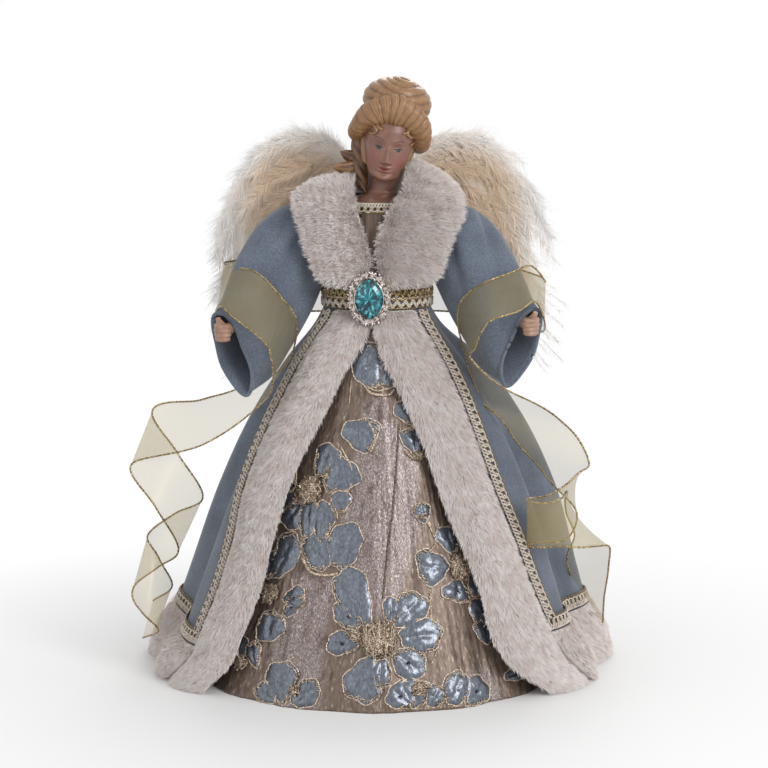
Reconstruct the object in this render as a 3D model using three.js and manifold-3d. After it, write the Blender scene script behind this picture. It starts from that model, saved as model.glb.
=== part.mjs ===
// Angel tree topper: a card cone dressed in a gold skirt and an open felt coat with fur trim,
// a cloth-covered body with a moulded head, wired arms, feather wings and a wired ribbon.
// Millimetres, +Z up, the figure faces -Y. The origin is the centre of the base on the ground.
// Left and right are the viewer's left (-X) and right (+X).
// In the polar frame of the skirts an angle of 0 is the front, and +X is at 90 degrees.

import * as THREE from 'three';
import { mergeGeometries, mergeVertices } from 'three/addons/utils/BufferGeometryUtils.js';
import Module from 'manifold-3d';

const wasm = await Module();
wasm.setup();

// Fits shared by all pieces
const fit_gap = 0.4;
const cut_gap = 0.35;
const trim_gap = 1;
const layer_gap = 0.6;
const trim_side_gap = 1.2;
const weld_distance = 1e-4;
const overrun = 2;

// Card cone that stands over the tip of the tree
const waist_height = 242;
const cone_top_drop = 10;
const cone_waist_radius = 24;
const cone_base_radius = 106;
const cone_wall = 1.6;
const cone_segments = 48;

// Gold skirt: how far it stands off the cone at the waist and at the hem
const gold_wall = 1.2;
const gold_waist_off = { front: 3, side: 6.5, back: 3 };
const gold_hem_off = { front: 19, side: 15, back: 2 };
const gold_pleat_depth = 2.2;
const gold_pleats = 15;
const gold_columns = 75;
const gold_row_shares = [0, 0.1, 0.28, 0.5, 0.74, 1];

// Felt coat skirt over the gold skirt, open at the front
const coat_wall = 1.4;
const coat_hem_rise = 1;
const coat_loose_left = 27;
const coat_loose_right = 40;
const coat_columns = 84;
const coat_row_shares = [0, 0.06, 0.15, 0.3, 0.5, 0.75, 1];
const drape_left_shares = [0, 0.1, 0.45, 0.82, 1, 0.97, 0.93];
const drape_right_shares = [0, 0.1, 0.52, 0.86, 1, 0.84, 0.67];
const coat_edge_share = 0.45;
const lean_columns = 8;
const lean_degrees = 84;

// Main folds of the coat, the same numbers for both sides: degrees from the front and their depth
const fold_left_degrees = [0, 30, 52, 76, 86, 102, 124, 148, 180];
const fold_right_degrees = [0, 30, 50, 70, 80, 100, 124, 148, 180];
const fold_shares = [0.04, 0.1, 0.38, 0.58, 0.4, 1, 0.45, 0.6, 0.15];

// Fur bands down both front edges of the coat: angles of their edges from the waist to the hem
const band_t_shares = [0.03, 0.08, 0.15, 0.24, 0.36, 0.48, 0.6, 0.72, 0.84, 0.92, 1];
const left_inner_degrees = [-7.6, -11, -22, -30, -38, -41.5, -42, -42, -44, -46, -54];
const left_outer_degrees = [-48, -56, -60, -62, -64, -64, -60, -59, -60.5, -62, -70];
const right_inner_degrees = [-5, 0, 8, 18, 26, 29, 34, 37, 37.5, 42, 54];
const right_outer_degrees = [42, 46, 47.5, 49, 49.5, 50.5, 53, 55, 58, 61, 70];
const fur_thickness = 11;
const fur_top_thickness_share = 0.32;
const fur_grown_share = 0.12;
const fur_crown_shares = [0.12, 0.7, 0.95, 0.95, 0.7, 0.12];
const band_rows = 16;

// Fur round the hem of the coat
const hem_gap = 1.6;
const hem_fur_height = 35;
const hem_fur_thickness = 12;
const hem_fur_back_share = 0.6;
const hem_corner_shares = { left: 0.68, right: 1 };
const hem_corner_degrees = [76, 112];
const hem_crown_shares = [0.15, 0.75, 1, 1, 0.8];

// Gimp braid along the fur
const braid_width = 8;
const braid_thickness = 1.6;
const braid_rows = 16;

// Stuffed body on the cone, in shares of its waist, and the bodices over it
const bodice_height = 66;
const body_half_width = 29.3;
const body_half_depth = 26;
const body_height_shares = [0, 0.3, 0.58, 0.82, 0.92, 1, 1.06];
const body_width_shares = [1, 1, 0.97, 0.88, 0.8, 0.62, 0.52];
const body_depth_shares = [1, 1, 0.98, 0.93, 0.93, 0.88, 0.76];
const body_top_share = 0.82;
const body_foot_share = 0.86;
const bodice_wall = 1;
const bodice_columns = 26;
const coat_bodice_top_share = 1.05;
const coat_bodice_front_degrees = [14, 42];

// Head and bust moulded in one
const bust_ease = 1;
const bust_width_shares = [1, 0.97, 0.93];
const neck_radius = 9.8;
const neck_collar_width = 15;
const neck_collar_depth = 16.5;
const neck_lean = { x: 8, y: -6 };
const neck_length = 24;
const neck_rise_shares = [0.1, 0.2, 0.4, 0.8, 1.2];
const neck_flare_shares = [1, 0.35, 0, 0, 0];
const neck_lean_shares = [0, 0.25, 0.55, 0.85, 1];
const head_place = { x: 7.6, y: -8, z: 39 };
const head_width = 32;
const head_depth = 39;
const head_height = 45;
const head_roll_degrees = 11;
const head_pitch_degrees = 12;
const head_height_shares = [-0.51, -0.46, -0.35, -0.22, -0.06, 0.1, 0.25, 0.38, 0.47, 0.5];
const head_width_shares = [0.1, 0.24, 0.36, 0.43, 0.485, 0.5, 0.48, 0.39, 0.22, 0.07];
const head_front_shares = [-0.47, -0.53, -0.54, -0.525, -0.51, -0.5, -0.47, -0.36, -0.2, -0.05];
const head_back_shares = [-0.32, -0.15, 0.12, 0.32, 0.45, 0.5, 0.48, 0.38, 0.23, 0.1];
const head_columns = 18;
const nose_size = { x: 2, y: 3.2, z: 4.2 };
const nose_place = { x: 0, y: -20.6, z: -4.5 };

// Moulded hair: cap, roll round the face, bun on top, a lock on the neck and two curls beside it
const hair_growth = 2.4;
const hair_cap_floor_share = -0.05;
const hair_roll_radius = 6.6;
const hair_roll_reach = { x: 20.6, z: 17.5 };
const hair_roll_lift = 3;
const hair_roll_forward = -13;
const hair_roll_back = 7;
const hair_roll_degrees = 112;
const hair_roll_steps = 16;
const hair_curl_depth_share = 0.16;
const hair_curls = 7;
const bun_size = { x: 22.3, y: 18, z: 15.6 };
const bun_place = { x: 0.6, y: 4, z: 25.6 };
const bun_layers_share = 0.62;
const bun_top_lift_share = 0.42;
const lock_radius = 6.5;
const neck_lock_x_shares = [-0.58, -0.54, -0.48, -0.44, -0.36, -0.27];
const neck_lock_y_shares = [0.18, 0.18, 0.12, 0.03, -0.08, -0.18];
const neck_lock_z_shares = [-0.06, -0.22, -0.38, -0.54, -0.68, -0.78];
const neck_lock_radius_shares = [0.8, 0.9, 0.9, 0.8, 0.6, 0.25];
const upper_curl_x_shares = [-0.36, -0.5, -0.64, -0.8, -0.92];
const upper_curl_y_shares = [0.16, 0.14, 0.12, 0.1, 0.09];
const upper_curl_z_shares = [-0.31, -0.35, -0.36, -0.33, -0.3];
const lower_curl_x_shares = [-0.4, -0.56, -0.72, -0.88, -1.02];
const lower_curl_y_shares = [0.12, 0.08, 0.03, 0, -0.04];
const lower_curl_z_shares = [-0.47, -0.5, -0.52, -0.52, -0.53];
const curl_radius_shares = [0.75, 0.85, 0.75, 0.5, 0.12];
const lock_sides = 7;

// Fur shawl collar: inner and outer edge of each station in shares of the three sizes
const collar_half_width = 52;
const collar_depth = 34;
const collar_rise = 80;
const collar_thickness = 11;
const collar_inner_x_shares = [-0.25, -0.12, -0.07, -0.15, -0.21, -0.27, -0.3, -0.28, -0.22, 0,
  0.25, 0.35, 0.35, 0.29, 0.14, 0.02, 0, 0.03, 0.14];
const collar_inner_y_shares = [-1, -1.02, -1, -0.97, -0.92, -0.82, -0.62, -0.26, 0.24, 0.42,
  0.3, -0.12, -0.5, -0.78, -0.92, -0.97, -1, -1.02, -1];
const collar_inner_z_shares = [0.17, 0.27, 0.38, 0.54, 0.7, 0.83, 0.91, 0.98, 1.03, 1.07,
  1.1, 1.1, 1.01, 0.88, 0.75, 0.55, 0.38, 0.27, 0.17];
const collar_outer_x_shares = [-0.58, -0.71, -0.79, -0.875, -0.95, -1, -0.96, -0.8, -0.5, 0,
  0.5, 0.84, 0.98, 1.01, 1.03, 0.9, 0.8, 0.74, 0.58];
const collar_outer_y_shares = [-0.95, -0.92, -0.86, -0.8, -0.72, -0.56, -0.24, 0.32, 0.8, 0.97,
  0.8, 0.32, -0.24, -0.56, -0.72, -0.8, -0.86, -0.92, -0.95];
const collar_outer_z_shares = [0.18, 0.25, 0.37, 0.54, 0.7, 0.82, 0.88, 0.88, 0.82, 0.78,
  0.84, 0.91, 0.9, 0.84, 0.73, 0.56, 0.37, 0.25, 0.18];
const collar_thickness_shares = [0.4, 0.7, 0.9, 1, 1, 1, 1, 1, 0.9, 0.9,
  0.9, 1, 1, 1, 1, 1, 0.9, 0.7, 0.4];
const collar_crown_shares = [0.2, 0.75, 1, 1, 0.75, 0.2];

// Braid at the neckline and the two braids of the belt
const neckline_braid_degrees = 36;
const neckline_braid_height = 5;
const neckline_braid_top_share = 1;
const belt_bottom_drop = 2;
const cream_belt_height = 6.2;
const gold_belt_height = 6.6;
const belt_thickness = 1.9;
const belt_columns = 36;

// Brooch on the belt: a faceted oval gem in a filigree setting
const brooch_degrees = -8.5;
const brooch_rise = 7.7;
const setting_width = 27;
const setting_height = 34;
const setting_thickness = 2.6;
const setting_bead_share = 0.08;
const setting_beads = 16;
const brooch_stem_radius = 5.5;
const brooch_stand_off = 5;
const gem_width = 18;
const gem_height = 25;
const gem_rise = 4.6;
const gem_table_share = 0.52;
const gem_sides = 16;

// Shoulders and arms: wire, moulded hand and felt bell sleeve
const shoulder_wire_radius = 1.5;
const sleeve_head_radius = 12;
const sleeve_swing_gap = 2.8;
const sleeve_head_slope_degrees = 50;
const sleeve_head_degrees = [4, 30, 60, 90];
const armhole_radius = 7.2;
const arm_pivot_y = -3;
const sleeve_wall = 1.4;
const sleeve_reach = 57;
const sleeve_drop_left = 109;
const sleeve_drop_right = 103;
const sleeve_columns = 16;
const sleeve_outer_x_shares = [0.32, 0.57, 0.78, 0.92, 0.99, 1.01, 0.99];
const sleeve_outer_z_shares = [0.073, -0.028, -0.2, -0.367, -0.468, -0.505, -0.523];
const sleeve_inner_x_shares = [-0.115, -0.14, -0.05, 0.07, 0.26, 0.43, 0.69];
const sleeve_inner_z_shares = [-0.2, -0.335, -0.45, -0.578, -0.752, -0.89, -1];
const sleeve_centre_y_shares = [-0.04, -0.06, -0.17, -0.33, -0.54, -0.75, -0.95];
const sleeve_half_depth_shares = [0.39, 0.46, 0.5, 0.48, 0.41, 0.3, 0.105];
const sleeve_twist_x_shares = [0, 0, 0, 0.02, 0.07, 0.12, 0.17];
const sleeve_depth = 43;
const eye_radius = 2.4;
const eye_length = 5;
const arm_wire_radius = 1.4;
const arm_x_shares = [0, 0.26, 0.52, 0.76, 0.89];
const arm_y_shares = [0, -0.06, -0.24, -0.6, -0.92];
const arm_z_shares = [0, -0.15, -0.36, -0.53, -0.61];
const arm_segments = 12;
const hand_x_share = 0.93;
const hand_y_share = -1.16;
const hand_z_share = -0.625;
const wrist_radius = 4.4;
const wrist_length = 9;
const palm_size = { x: 6.8, y: 7.4, z: 6.4 };
const finger_radius = 2;
const finger_reach = 5.6;
const fingers = 4;
const thumb_radius = 2.1;
const thumb_way_shares = { x: 1.6, y: -1.7, z: 1.2 };

// Feather wings on bent wires at the back
const wing_mount_width = 22;
const wing_mount_height = 22;
const wing_mount_thickness = 2.5;
const wing_mount_share = 0.62;
const wing_root_x = 8;
const wing_eye_radius = 1.8;
const wing_eye_length = 9;
const wing_wire_radius = 1.1;
const wing_plane_y = 40;
const wing_card_thickness = 1;
const wing_card_inset_share = 0.86;
const wing_rise = 54;
const wing_height = 61;
const wing_reach_left = 101;
const wing_reach_right = 108;
const wing_fluff_thickness = 9;
const wing_feather_thickness = 3;
const fluff_x_shares = [0.07, 0.14, 0.26, 0.42, 0.56, 0.72, 0.86, 0.96, 1];
const fluff_top_shares = [0.55, 0.78, 0.92, 1, 0.97, 0.78, 0.4, -0.05, -0.5];
const fluff_bottom_shares = [0.1, -0.1, -0.25, -0.42, -0.55, -0.7, -0.85, -0.95, -0.9];
const fluff_crown_shares = [0.15, 0.8, 0.8, 0.15];
const card_crown_shares = [1, 1, 1, 1];
const wing_knee_shares = { x: 0.12, z: 0.05 };
const wing_tip_shares = { x: 0.3, z: 0.1 };
const flight_feathers = 7;
const flight_root_shares = [0.35, -0.05];
const flight_tilt_left = 4;
const flight_tilt_right = 12;
const flight_start_degrees = 196;
const flight_spread_degrees = 32;
const flight_length = 126;
const flight_length_shares = [0.72, 0.84, 0.93, 1, 1.02, 1, 0.95];
const flight_width = 13;
const feather_reach_shares = [0, 0.35, 0.7, 0.9, 1];
const feather_width_shares = [0.3, 0.8, 1, 0.75, 0.12];

// Wired organza ribbon: stations from the back of the waist round each sleeve to the hem.
// Places are in shares of two reaches and of the ribbon's height at the back of the waist, and the
// way across the ribbon is a direction.
const ribbon_width = 38;
const ribbon_thickness = 0.5;
const ribbon_steps = 3;
const ribbon_reach = 160;
const ribbon_depth = 50;
const ribbon_rise = 8;
const ribbon_left_x_shares = [0.009, 0.138, 0.281, 0.469, 0.594, 0.644, 0.625, 0.581, 0.525, 0.438,
  0.375, 0.375, 0.397, 0.525, 0.713, 0.963, 0.856, 0.769, 0.875, 0.981, 0.931, 0.875, 0.963];
const ribbon_left_y_shares = [0.7, 0.64, 0.46, 0.38, 0.18, -0.16, -0.48, -0.8, -0.93, -0.98, -0.92,
  -0.84, -0.68, -0.48, -0.4, -0.36, -0.52, -0.28, -0.12, -0.24, -0.44, -0.36, 0.1];
const ribbon_left_z_shares = [1, 1.004, 1.008, 1.004, 0.996, 1, 1.012, 1.02, 1.004, 0.956, 0.904,
  0.856, 0.792, 0.728, 0.66, 0.616, 0.508, 0.38, 0.332, 0.276, 0.224, 0.164, 0.108];
const ribbon_left_across_x_shares = [0, 0, 0, 0, -0.05, -0.15, -0.18, -0.25, -0.38, -0.46, -0.45,
  -0.36, -0.13, 0.53, 0.14, -0.35, -0.37, -0.4, -0.3, -0.28, -0.27, -0.18, -0.09];
const ribbon_left_across_y_shares = [-0.05, 0, 0, 0.1, 0.2, 0.35, 0.69, 0.78, 0.63, 0.73, 0.8, 0.93,
  0.98, 0.84, 0.75, 0.26, 0.35, 0.21, 0, -0.06, 0.55, 0.77, 0.88];
const ribbon_left_across_z_shares = [1, 1, 1, 1, 0.98, 0.92, 0.7, 0.57, 0.67, 0.5, 0.38, 0.12, 0.12,
  0.12, 0.65, 0.9, 0.86, 0.89, 0.95, 0.96, 0.79, 0.61, 0.46];
const ribbon_right_x_shares = [0.009, 0.138, 0.281, 0.469, 0.6, 0.669, 0.681, 0.625, 0.55, 0.438,
  0.381, 0.356, 0.362, 0.453, 0.613, 0.694, 0.762, 0.8, 0.725, 0.625, 0.6, 0.662, 0.756, 0.819,
  0.863, 0.881, 0.863, 0.875];
const ribbon_right_y_shares = [0.7, 0.64, 0.46, 0.38, 0.18, -0.16, -0.44, -0.7, -0.9, -1.04, -1,
  -0.94, -0.84, -0.9, -0.72, -0.64, -0.68, -0.88, -1.12, -1.16, -1.36, -1.46, -1.16, -0.84, -0.56,
  -0.38, -0.24, -0.08];
const ribbon_right_z_shares = [1, 1.004, 1.008, 0.996, 0.972, 0.964, 0.972, 1.028, 1.012, 0.988,
  0.956, 0.904, 0.844, 0.76, 0.68, 0.616, 0.552, 0.488, 0.436, 0.428, 0.428, 0.428, 0.428, 0.416,
  0.38, 0.316, 0.24, 0.172];
const ribbon_right_across_x_shares = [0, 0, 0, 0, -0.05, 0, 0.05, -0.03, -0.05, -0.16, -0.34, -0.27,
  -0.05, -0.38, -1, -0.96, -0.76, 0.1, 0.29, 0.2, 0, -0.1, 0, 0.45, 0.7, 0.55, 0.63, 0.56];
const ribbon_right_across_y_shares = [-0.05, 0, 0, 0.1, 0.2, 0.4, 0.75, 0.85, 0.81, 0.84, 0.85,
  0.89, 0.99, 0.9, 0.09, 0.21, 0.61, 0.7, 0.4, 0.5, 0.5, 0.5, 0.3, -0.25, -0.55, -0.74, -0.5,
  -0.27];
const ribbon_right_across_z_shares = [1, 1, 1, 1, 0.98, 0.92, 0.66, 0.53, 0.59, 0.52, 0.4, 0.36,
  -0.09, -0.2, 0, -0.19, -0.25, -0.7, -0.87, -0.85, -0.87, -0.87, -0.95, -0.85, -0.45, -0.4, -0.6,
  -0.78];

// Materials from the photograph: colour, roughness and metalness
const finish = {
  card: { color: 0xd8d2c4, roughness: 0.9, metalness: 0 },
  calico: { color: 0xe8e0d2, roughness: 0.9, metalness: 0 },
  lame: { color: 0xb9a68f, roughness: 0.45, metalness: 0.3 },
  felt: { color: 0x76859a, roughness: 0.95, metalness: 0 },
  fur: { color: 0xe6e0da, roughness: 1, metalness: 0 },
  braid: { color: 0xd8c7a4, roughness: 0.6, metalness: 0.2 },
  gold_braid: { color: 0x9c7a33, roughness: 0.4, metalness: 0.6 },
  skin: { color: 0xc9a193, roughness: 0.55, metalness: 0 },
  hair: { color: 0xb98a4f, roughness: 0.6, metalness: 0 },
  gilt: { color: 0xb9a56a, roughness: 0.3, metalness: 0.9 },
  gem: { color: 0x0b7f97, roughness: 0.1, metalness: 0.1 },
  wire: { color: 0x9a9a96, roughness: 0.4, metalness: 0.9 },
  feather: { color: 0xe9dccb, roughness: 0.9, metalness: 0 },
  organza: { color: 0xc9c3a0, roughness: 0.5, metalness: 0.1 },
};

const radians = (degrees) => THREE.MathUtils.degToRad(degrees);
const mix = (a, b, t) => a + (b - a) * t;

// Value of a table at t, on straight lines between its points
function along(places, values, t) {
  let k = 1;
  while (k < places.length - 1 && t > places[k]) k += 1;
  return mix(values[k - 1], values[k], (t - places[k - 1]) / (places[k] - places[k - 1]));
}

// The same with a level tangent at each point of the table
function smoothAlong(places, values, t) {
  let k = 1;
  while (k < places.length - 1 && t > places[k]) k += 1;
  return mix(values[k - 1], values[k], THREE.MathUtils.smoothstep(t, places[k - 1], places[k]));
}

function polar(angle, radius, height) {
  return new THREE.Vector3(radius * Math.sin(angle), -radius * Math.cos(angle), height);
}

function range(count, start = 0, end = 1) {
  return Array.from({ length: count }, (_, k) => mix(start, end, k / (count - 1)));
}

// Closed surface through rings of points, each ring a closed loop with as many points as the others.
// Open chains of rings are capped with a ladder of triangles, closed ones meet their first ring.
function loft(rings, closed = false) {
  const size = rings[0].length;
  const position = rings.flat().flatMap((p) => [p.x, p.y, p.z]);
  const index = [];
  const last = closed ? rings.length : rings.length - 1;
  for (let r = 0; r < last; r += 1) {
    const near = r * size;
    const far = ((r + 1) % rings.length) * size;
    for (let k = 0; k < size; k += 1) {
      const next = (k + 1) % size;
      // The two faces of a thin cloth share their diagonals, so that they stay parallel
      if (2 * k < size) index.push(near + k, near + next, far + next, near + k, far + next, far + k);
      else index.push(near + k, near + next, far + k, near + next, far + next, far + k);
    }
  }
  if (!closed) {
    const end = (rings.length - 1) * size;
    for (let k = 0; k < Math.floor((size - 1) / 2); k += 1) {
      const a = k;
      const b = k + 1;
      const c = size - 1 - k;
      const d = size - 2 - k;
      index.push(a, d, b, a, c, d);
      index.push(end + a, end + b, end + d, end + a, end + d, end + c);
    }
  }
  return facingOut(meshFrom(position, index));
}

function meshFrom(position, index) {
  const geometry = new THREE.BufferGeometry();
  geometry.setAttribute('position', new THREE.Float32BufferAttribute(position, 3));
  const solid = index.filter((_, k) => {
    const [a, b, c] = index.slice(k - (k % 3), k - (k % 3) + 3);
    return a !== b && b !== c && a !== c;
  });
  geometry.setIndex(solid);
  return geometry;
}

// Turns the triangles round when the enclosed volume comes out negative
function facingOut(geometry) {
  const p = geometry.attributes.position;
  const i = geometry.index.array;
  const corner = [0, 1, 2].map(() => new THREE.Vector3());
  let volume = 0;
  for (let k = 0; k < i.length; k += 3) {
    corner.forEach((v, n) => v.fromBufferAttribute(p, i[k + n]));
    volume += corner[0].dot(corner[1].clone().cross(corner[2]));
  }
  if (volume < 0) {
    for (let k = 0; k < i.length; k += 3) [i[k], i[k + 1]] = [i[k + 1], i[k]];
  }
  return geometry;
}

function toSolid(geometry) {
  const bare = geometry.clone();
  bare.deleteAttribute('normal');
  bare.deleteAttribute('uv');
  const whole = mergeVertices(bare, weld_distance);
  return new wasm.Manifold(new wasm.Mesh({
    numProp: 3,
    vertProperties: new Float32Array(whole.attributes.position.array),
    triVerts: new Uint32Array(whole.index.array),
  }));
}

function toGeometry(solid) {
  const { vertProperties, triVerts } = solid.getMesh();
  const geometry = new THREE.BufferGeometry();
  geometry.setAttribute('position', new THREE.BufferAttribute(new Float32Array(vertProperties), 3));
  geometry.setIndex(new THREE.BufferAttribute(new Uint32Array(triVerts), 1));
  return geometry;
}

const joined = (geometries) => toGeometry(geometries.map(toSolid).reduce((a, b) => a.add(b)));

function cut(geometry, tools) {
  return toGeometry(tools.map(toSolid).reduce((a, b) => a.subtract(b), toSolid(geometry)));
}

const angel = new THREE.Group();

function add(name, geometry, look) {
  const mesh = new THREE.Mesh(geometry, new THREE.MeshStandardMaterial({ ...look, side: THREE.DoubleSide }));
  mesh.name = name;
  angel.add(mesh);
  return mesh;
}

// Stack of skirts: each layer is the one beneath it plus its own named stand-off
function byDirection(angle, { front, side, back }) {
  const across = Math.sin(angle) ** 2;
  return side * across + (Math.cos(angle) > 0 ? front : back) * (1 - across);
}

const coneRadius = (t) => mix(cone_waist_radius, cone_base_radius, t);

function goldBase(angle, t) {
  return coneRadius(t) + mix(byDirection(angle, gold_waist_off), byDirection(angle, gold_hem_off), t);
}

function goldInner(angle, t) {
  return goldBase(angle, t) + gold_pleat_depth * t * (1 + Math.cos(gold_pleats * angle)) / 2;
}

// How far the coat falls outward: its drape at this height times the fold at this angle
function coatLoose(angle, t) {
  const left = angle < 0;
  const places = (left ? fold_left_degrees : fold_right_degrees).map(radians);
  const drape = along(coat_row_shares, left ? drape_left_shares : drape_right_shares, t);
  const fold = smoothAlong(places, fold_shares, Math.abs(angle));
  return (left ? coat_loose_left : coat_loose_right) * drape * fold;
}

function coatInner(angle, t) {
  return goldBase(angle, t) + gold_wall + gold_pleat_depth * t + fit_gap + coatLoose(angle, t);
}

const coatOuter = (angle, t) => coatInner(angle, t) + coat_wall;

// Outside of the coat as its rows of flat facets have it, for what lies on it
function coatFace(angle, t) {
  return along(coat_rows, coat_rows.map((row) => coatOuter(angle, row)), t);
}

const heightAt = (t) => waist_height * (1 - t);
const coat_end = 1 - coat_hem_rise / waist_height;
const coat_rows = coat_row_shares.map((t) => Math.min(t, coat_end));
const wrapped = (angle) => Math.atan2(Math.sin(angle), Math.cos(angle));

// Thin cloth between two radius functions, as a section of rows for each angle
function clothSection(angle, rows, inner, outer) {
  const outside = rows.map((t) => polar(angle, outer(wrapped(angle), t), heightAt(t)));
  const inside = rows.map((t) => polar(angle, inner(wrapped(angle), t), heightAt(t)));
  return [...outside, ...inside.reverse()];
}

function supportCone() {
  const top = cone_top_drop / waist_height;
  const height = waist_height - cone_top_drop;
  const outer = [new THREE.Vector2(cone_base_radius, 0), new THREE.Vector2(coneRadius(top), height)];
  const profile = [
    new THREE.Vector2(0, height - cone_wall),
    new THREE.Vector2(coneRadius(top) - cone_wall, height - cone_wall),
    new THREE.Vector2(cone_base_radius - cone_wall, 0),
    ...outer,
    new THREE.Vector2(0, height),
  ];
  const geometry = new THREE.LatheGeometry(profile, cone_segments);
  geometry.rotateX(Math.PI / 2);
  return facingOut(toGeometry(toSolid(facingOut(mergeVertices(geometry)))));
}

function goldSkirt() {
  const turn = 2 * Math.PI / gold_columns;
  const rings = range(gold_columns, 0, 2 * Math.PI - turn).map((angle) => clothSection(
    angle,
    gold_row_shares,
    goldInner,
    (a, t) => goldInner(a, t) + gold_wall,
  ));
  return loft(rings, true);
}

const bandEdges = {
  left: { inner: left_inner_degrees, outer: left_outer_degrees },
  right: { inner: right_inner_degrees, outer: right_outer_degrees },
};

const edgeAngle = (side, edge, t) => radians(along(band_t_shares, bandEdges[side][edge], t));

// Angle of the coat's own front edge, hidden under the fur
function coatEdge(side, t) {
  const reach = Math.max(t, band_t_shares[0]);
  return mix(edgeAngle(side, 'inner', reach), edgeAngle(side, 'outer', reach), coat_edge_share);
}

// Columns round the back from one front edge to the other. Only those near the edges lean with
// them, and the rest stand upright, so that trims on the coat share its folds.
function columnsRound(count, edge) {
  const lean = range(lean_columns + 1).slice(0, lean_columns);
  const join = radians(lean_degrees);
  const right = lean.map((u) => (t) => mix(edge('right', t), join, u));
  const left = lean.map((u) => (t) => 2 * Math.PI + mix(edge('left', t), -join, u)).reverse();
  const back = range(count - 2 * lean_columns, join, 2 * Math.PI - join).map((angle) => () => angle);
  return [...right, ...back, ...left];
}

function coatSkirt() {
  const rings = columnsRound(coat_columns, coatEdge).map((angleAt) => {
    const outside = coat_rows.map((t) => {
      const angle = angleAt(t);
      return polar(angle, coatOuter(wrapped(angle), t), heightAt(t));
    });
    const inside = coat_rows.map((t) => {
      const angle = angleAt(t);
      return polar(angle, coatInner(wrapped(angle), t), heightAt(t));
    });
    return [...outside, ...inside.reverse()];
  });
  return loft(rings);
}

// Flat-backed strip on the coat with a crowned front, between two angles at height t
function stripSection(from, to, t, crown, thickness) {
  const places = range(crown.length);
  const pointAt = (s, lift) => {
    const angle = mix(from, to, s);
    return polar(angle, coatFace(wrapped(angle), t) + trim_gap + lift, heightAt(t));
  };
  const base = places.map((s) => pointAt(s, 0));
  const face = places.map((s, k) => pointAt(s, thickness * crown[k]));
  return [...base, ...face.reverse()];
}

function furFront(side) {
  const rings = range(band_rows, band_t_shares[0], coat_end).map((t) => {
    const grown = THREE.MathUtils.smoothstep(t, 0, fur_grown_share);
    const thickness = fur_thickness * mix(fur_top_thickness_share, 1, grown);
    const from = edgeAngle(side, 'inner', t);
    return stripSection(from, edgeAngle(side, 'outer', t), t, fur_crown_shares, thickness);
  });
  return loft(rings);
}

const arcAngle = (length, angle, t) => length / coatOuter(angle, t);

function braidFront(side) {
  const sign = side === 'left' ? -1 : 1;
  const end = coat_end - (hem_fur_height * hem_corner_shares[side] + braid_width + fit_gap) / waist_height;
  const rings = range(braid_rows, band_t_shares[0], end).map((t) => {
    const edge = edgeAngle(side, 'outer', t);
    const from = edge + sign * arcAngle(trim_side_gap, edge, t);
    const to = edge + sign * arcAngle(trim_side_gap + braid_width, edge, t);
    return stripSection(from, to, t, [1, 1, 1], braid_thickness);
  });
  return loft(rings);
}

// Angles between which the hem trims run round the back, clear of the front bands
function hemStart(side, t) {
  const sign = side === 'left' ? -1 : 1;
  const edge = edgeAngle(side, 'outer', t);
  return edge + sign * arcAngle(trim_side_gap, edge, t);
}

// Height of the fur hem above the hem of the coat, lower at one front corner than round the back
function hemHeight(angle) {
  const turned = wrapped(angle);
  const corner = hem_corner_shares[turned < 0 ? 'left' : 'right'];
  const [from, to] = hem_corner_degrees.map(radians);
  return hem_fur_height * mix(corner, 1, THREE.MathUtils.smoothstep(Math.abs(turned), from, to));
}

// Strip round the hem between two heights that may change with the angle
function hemBand(topAt, bottomAt, crown, thicknessAt) {
  const places = range(crown.length);
  const rings = columnsRound(coat_columns, hemStart).map((angleAt) => {
    const pointAt = (s, lift) => {
      const rough = angleAt(coat_end);
      const rise = mix(topAt(rough), bottomAt(rough), s);
      const t = coat_end - rise / waist_height;
      const angle = angleAt(t);
      return polar(angle, coatFace(wrapped(angle), t) + hem_gap + lift * thicknessAt(angle), heightAt(t));
    };
    return [pointAt(0, 0), pointAt(1, 0), ...places.map((s, k) => pointAt(s, crown[k])).reverse()];
  });
  return loft(rings);
}

function furHem() {
  const backward = (angle) => Math.max(0, -Math.cos(angle));
  const thicknessAt = (angle) => hem_fur_thickness * mix(1, hem_fur_back_share, backward(angle));
  return hemBand(hemHeight, () => 0, hem_crown_shares, thicknessAt);
}

function braidHem() {
  const bottomAt = (angle) => hemHeight(angle) + fit_gap;
  const topAt = (angle) => bottomAt(angle) + braid_width;
  return hemBand(topAt, bottomAt, [1, 1], () => braid_thickness);
}

// Oval section of the body at a share of the bodice height, grown outward by a margin
function bodyPoint(angle, share, margin) {
  const a = along(body_height_shares, body_width_shares, share) * body_half_width + margin;
  const b = along(body_height_shares, body_depth_shares, share) * body_half_depth + margin;
  return new THREE.Vector3(a * Math.sin(angle), -b * Math.cos(angle), waist_height + share * bodice_height);
}

const coat_bodice_margin = layer_gap + bodice_wall + layer_gap + coat_wall;
const circle = (columns) => range(columns + 1, 0, 2 * Math.PI).slice(0, columns);
const body_top = waist_height + body_top_share * bodice_height;
const arm_pivot_x = body_half_width * along(body_height_shares, body_width_shares, body_top_share)
  + coat_bodice_margin + sleeve_swing_gap + sleeve_head_radius;

function rod(from, to, radius, sides = 10) {
  const span = to.clone().sub(from);
  const geometry = new THREE.CylinderGeometry(radius, radius, span.length(), sides);
  const up = new THREE.Vector3(0, 1, 0);
  geometry.applyQuaternion(new THREE.Quaternion().setFromUnitVectors(up, span.clone().normalize()));
  const middle = from.clone().lerp(to, 0.5);
  geometry.translate(middle.x, middle.y, middle.z);
  return geometry;
}

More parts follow.
